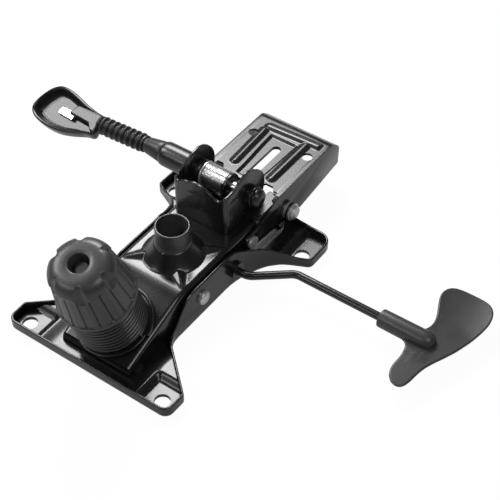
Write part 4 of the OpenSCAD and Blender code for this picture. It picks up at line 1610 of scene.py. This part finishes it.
@dataclass
class Studio:
    """Camera, floor, surround and lamps."""

    azimuth: float = 35.64
    elevation: float = 45.6
    lens: float = 92.88
    spot: Point = (0.54370, -0.63698, 0.90017)
    paper: Pair = (0.42, 0.46)
    lamps: tuple[Softbox, ...] = (
        Softbox((-0.49, 0.5, 0.8), (-0.49, 0.5, 0), (0.5, 0.46), 11.0),
        Softbox((-0.5, 0.9, 0.8), (-0.5, 0.9, 0), (0.4, 0.26), 1.8),
        Softbox((0.9, -0.3, 1.2), (0, 0, 0), (0.7, 0.6), 5.0),
        Softbox((-0.5, -1.0, 0.9), (0, 0, 0), (0.7, 0.4), 3.0),
        Softbox((-0.77, -0.2, 0.84), (-0.21, 0.08, 0.06), (0.34, 0.34), 4.4),
    )

    def camera(self) -> None:
        """Sets the camera at the photograph's place."""
        data = bpy.data.cameras.new("camera")
        data.lens = self.lens
        data.sensor_width = 36.0
        data.clip_start = 0.05
        view = bpy.data.objects.new("camera", data)
        a, e = math.radians(self.azimuth), math.radians(self.elevation)
        ahead = Vector((-math.sin(a) * math.cos(e), math.cos(a) * math.cos(e), -math.sin(e)))
        across = Vector((math.cos(a), math.sin(a), 0))
        above = across.cross(ahead)
        turn = Matrix((across, above, -ahead)).transposed().to_4x4()
        view.matrix_world = Matrix.Translation(Vector(self.spot)) @ turn
        bpy.context.scene.collection.objects.link(view)
        bpy.context.scene.camera = view

    def floor(self) -> None:
        """A pale floor that the camera sees nearly white, with a faint shadow."""
        bpy.ops.object.select_all(action="DESELECT")
        bpy.ops.mesh.primitive_plane_add(size=12.0, location=(0, 0, -0.0004))
        plane = bpy.context.active_object
        plane.name = "floor"
        bench = ShaderBench(bpy.data.materials.new("floor_paper"))
        tone = bench.blend(bench.noise(30.0), *((shade,) * 3 for shade in self.paper))
        plain = bench.node("ShaderNodeBsdfDiffuse", None, {"Color": tone})
        seen = bench.node("ShaderNodeLightPath", output="Is Camera Ray")
        mirrored = bench.node("ShaderNodeLightPath", output="Is Glossy Ray")
        glow = bench.node("ShaderNodeEmission", None, {"Color": (1, 1, 1, 1), "Strength": 1.07})
        share = seen * 0.9 + mirrored * 0.3
        mixed = bench.node("ShaderNodeMixShader", None, {0: share, 1: plain, 2: glow})
        plane.data.materials.append(bench.surface(mixed))

    def surround(self) -> None:
        """A soft grey surround that the camera sees as white."""
        bench = ShaderBench(bpy.data.worlds.new("surround"), "World")
        seen = bench.node("ShaderNodeLightPath", output="Is Camera Ray")
        dim = bench.node("ShaderNodeBackground", None, {"Color": (0.5, 0.5, 0.5, 1), "Strength": 0.18})
        white = bench.node("ShaderNodeBackground", None, {"Color": (1, 1, 1, 1), "Strength": 1.0})
        mixed = bench.node("ShaderNodeMixShader", None, {0: seen, 1: dim, 2: white})
        bpy.context.scene.world = bench.surface(mixed)

    def build(self) -> None:
        """Sets the stage."""
        self.camera()
        self.floor()
        self.surround()
        for lamp in self.lamps:
            lamp.build()
        bpy.context.scene.view_settings.view_transform = "Standard"


def main() -> None:
    """Builds every sub-assembly in order."""
    logging.basicConfig(level=logging.INFO)
    Studio().build()
    bench = Bench()
    for kind in (SeatPlate, TiltBody, TensionKnob, TiltLock, GasLever, BackBracket):
        kind(bench).build()
        log.info("%s done", kind.__name__)
    bpy.context.view_layer.update()


if __name__ == "__main__":
    main()
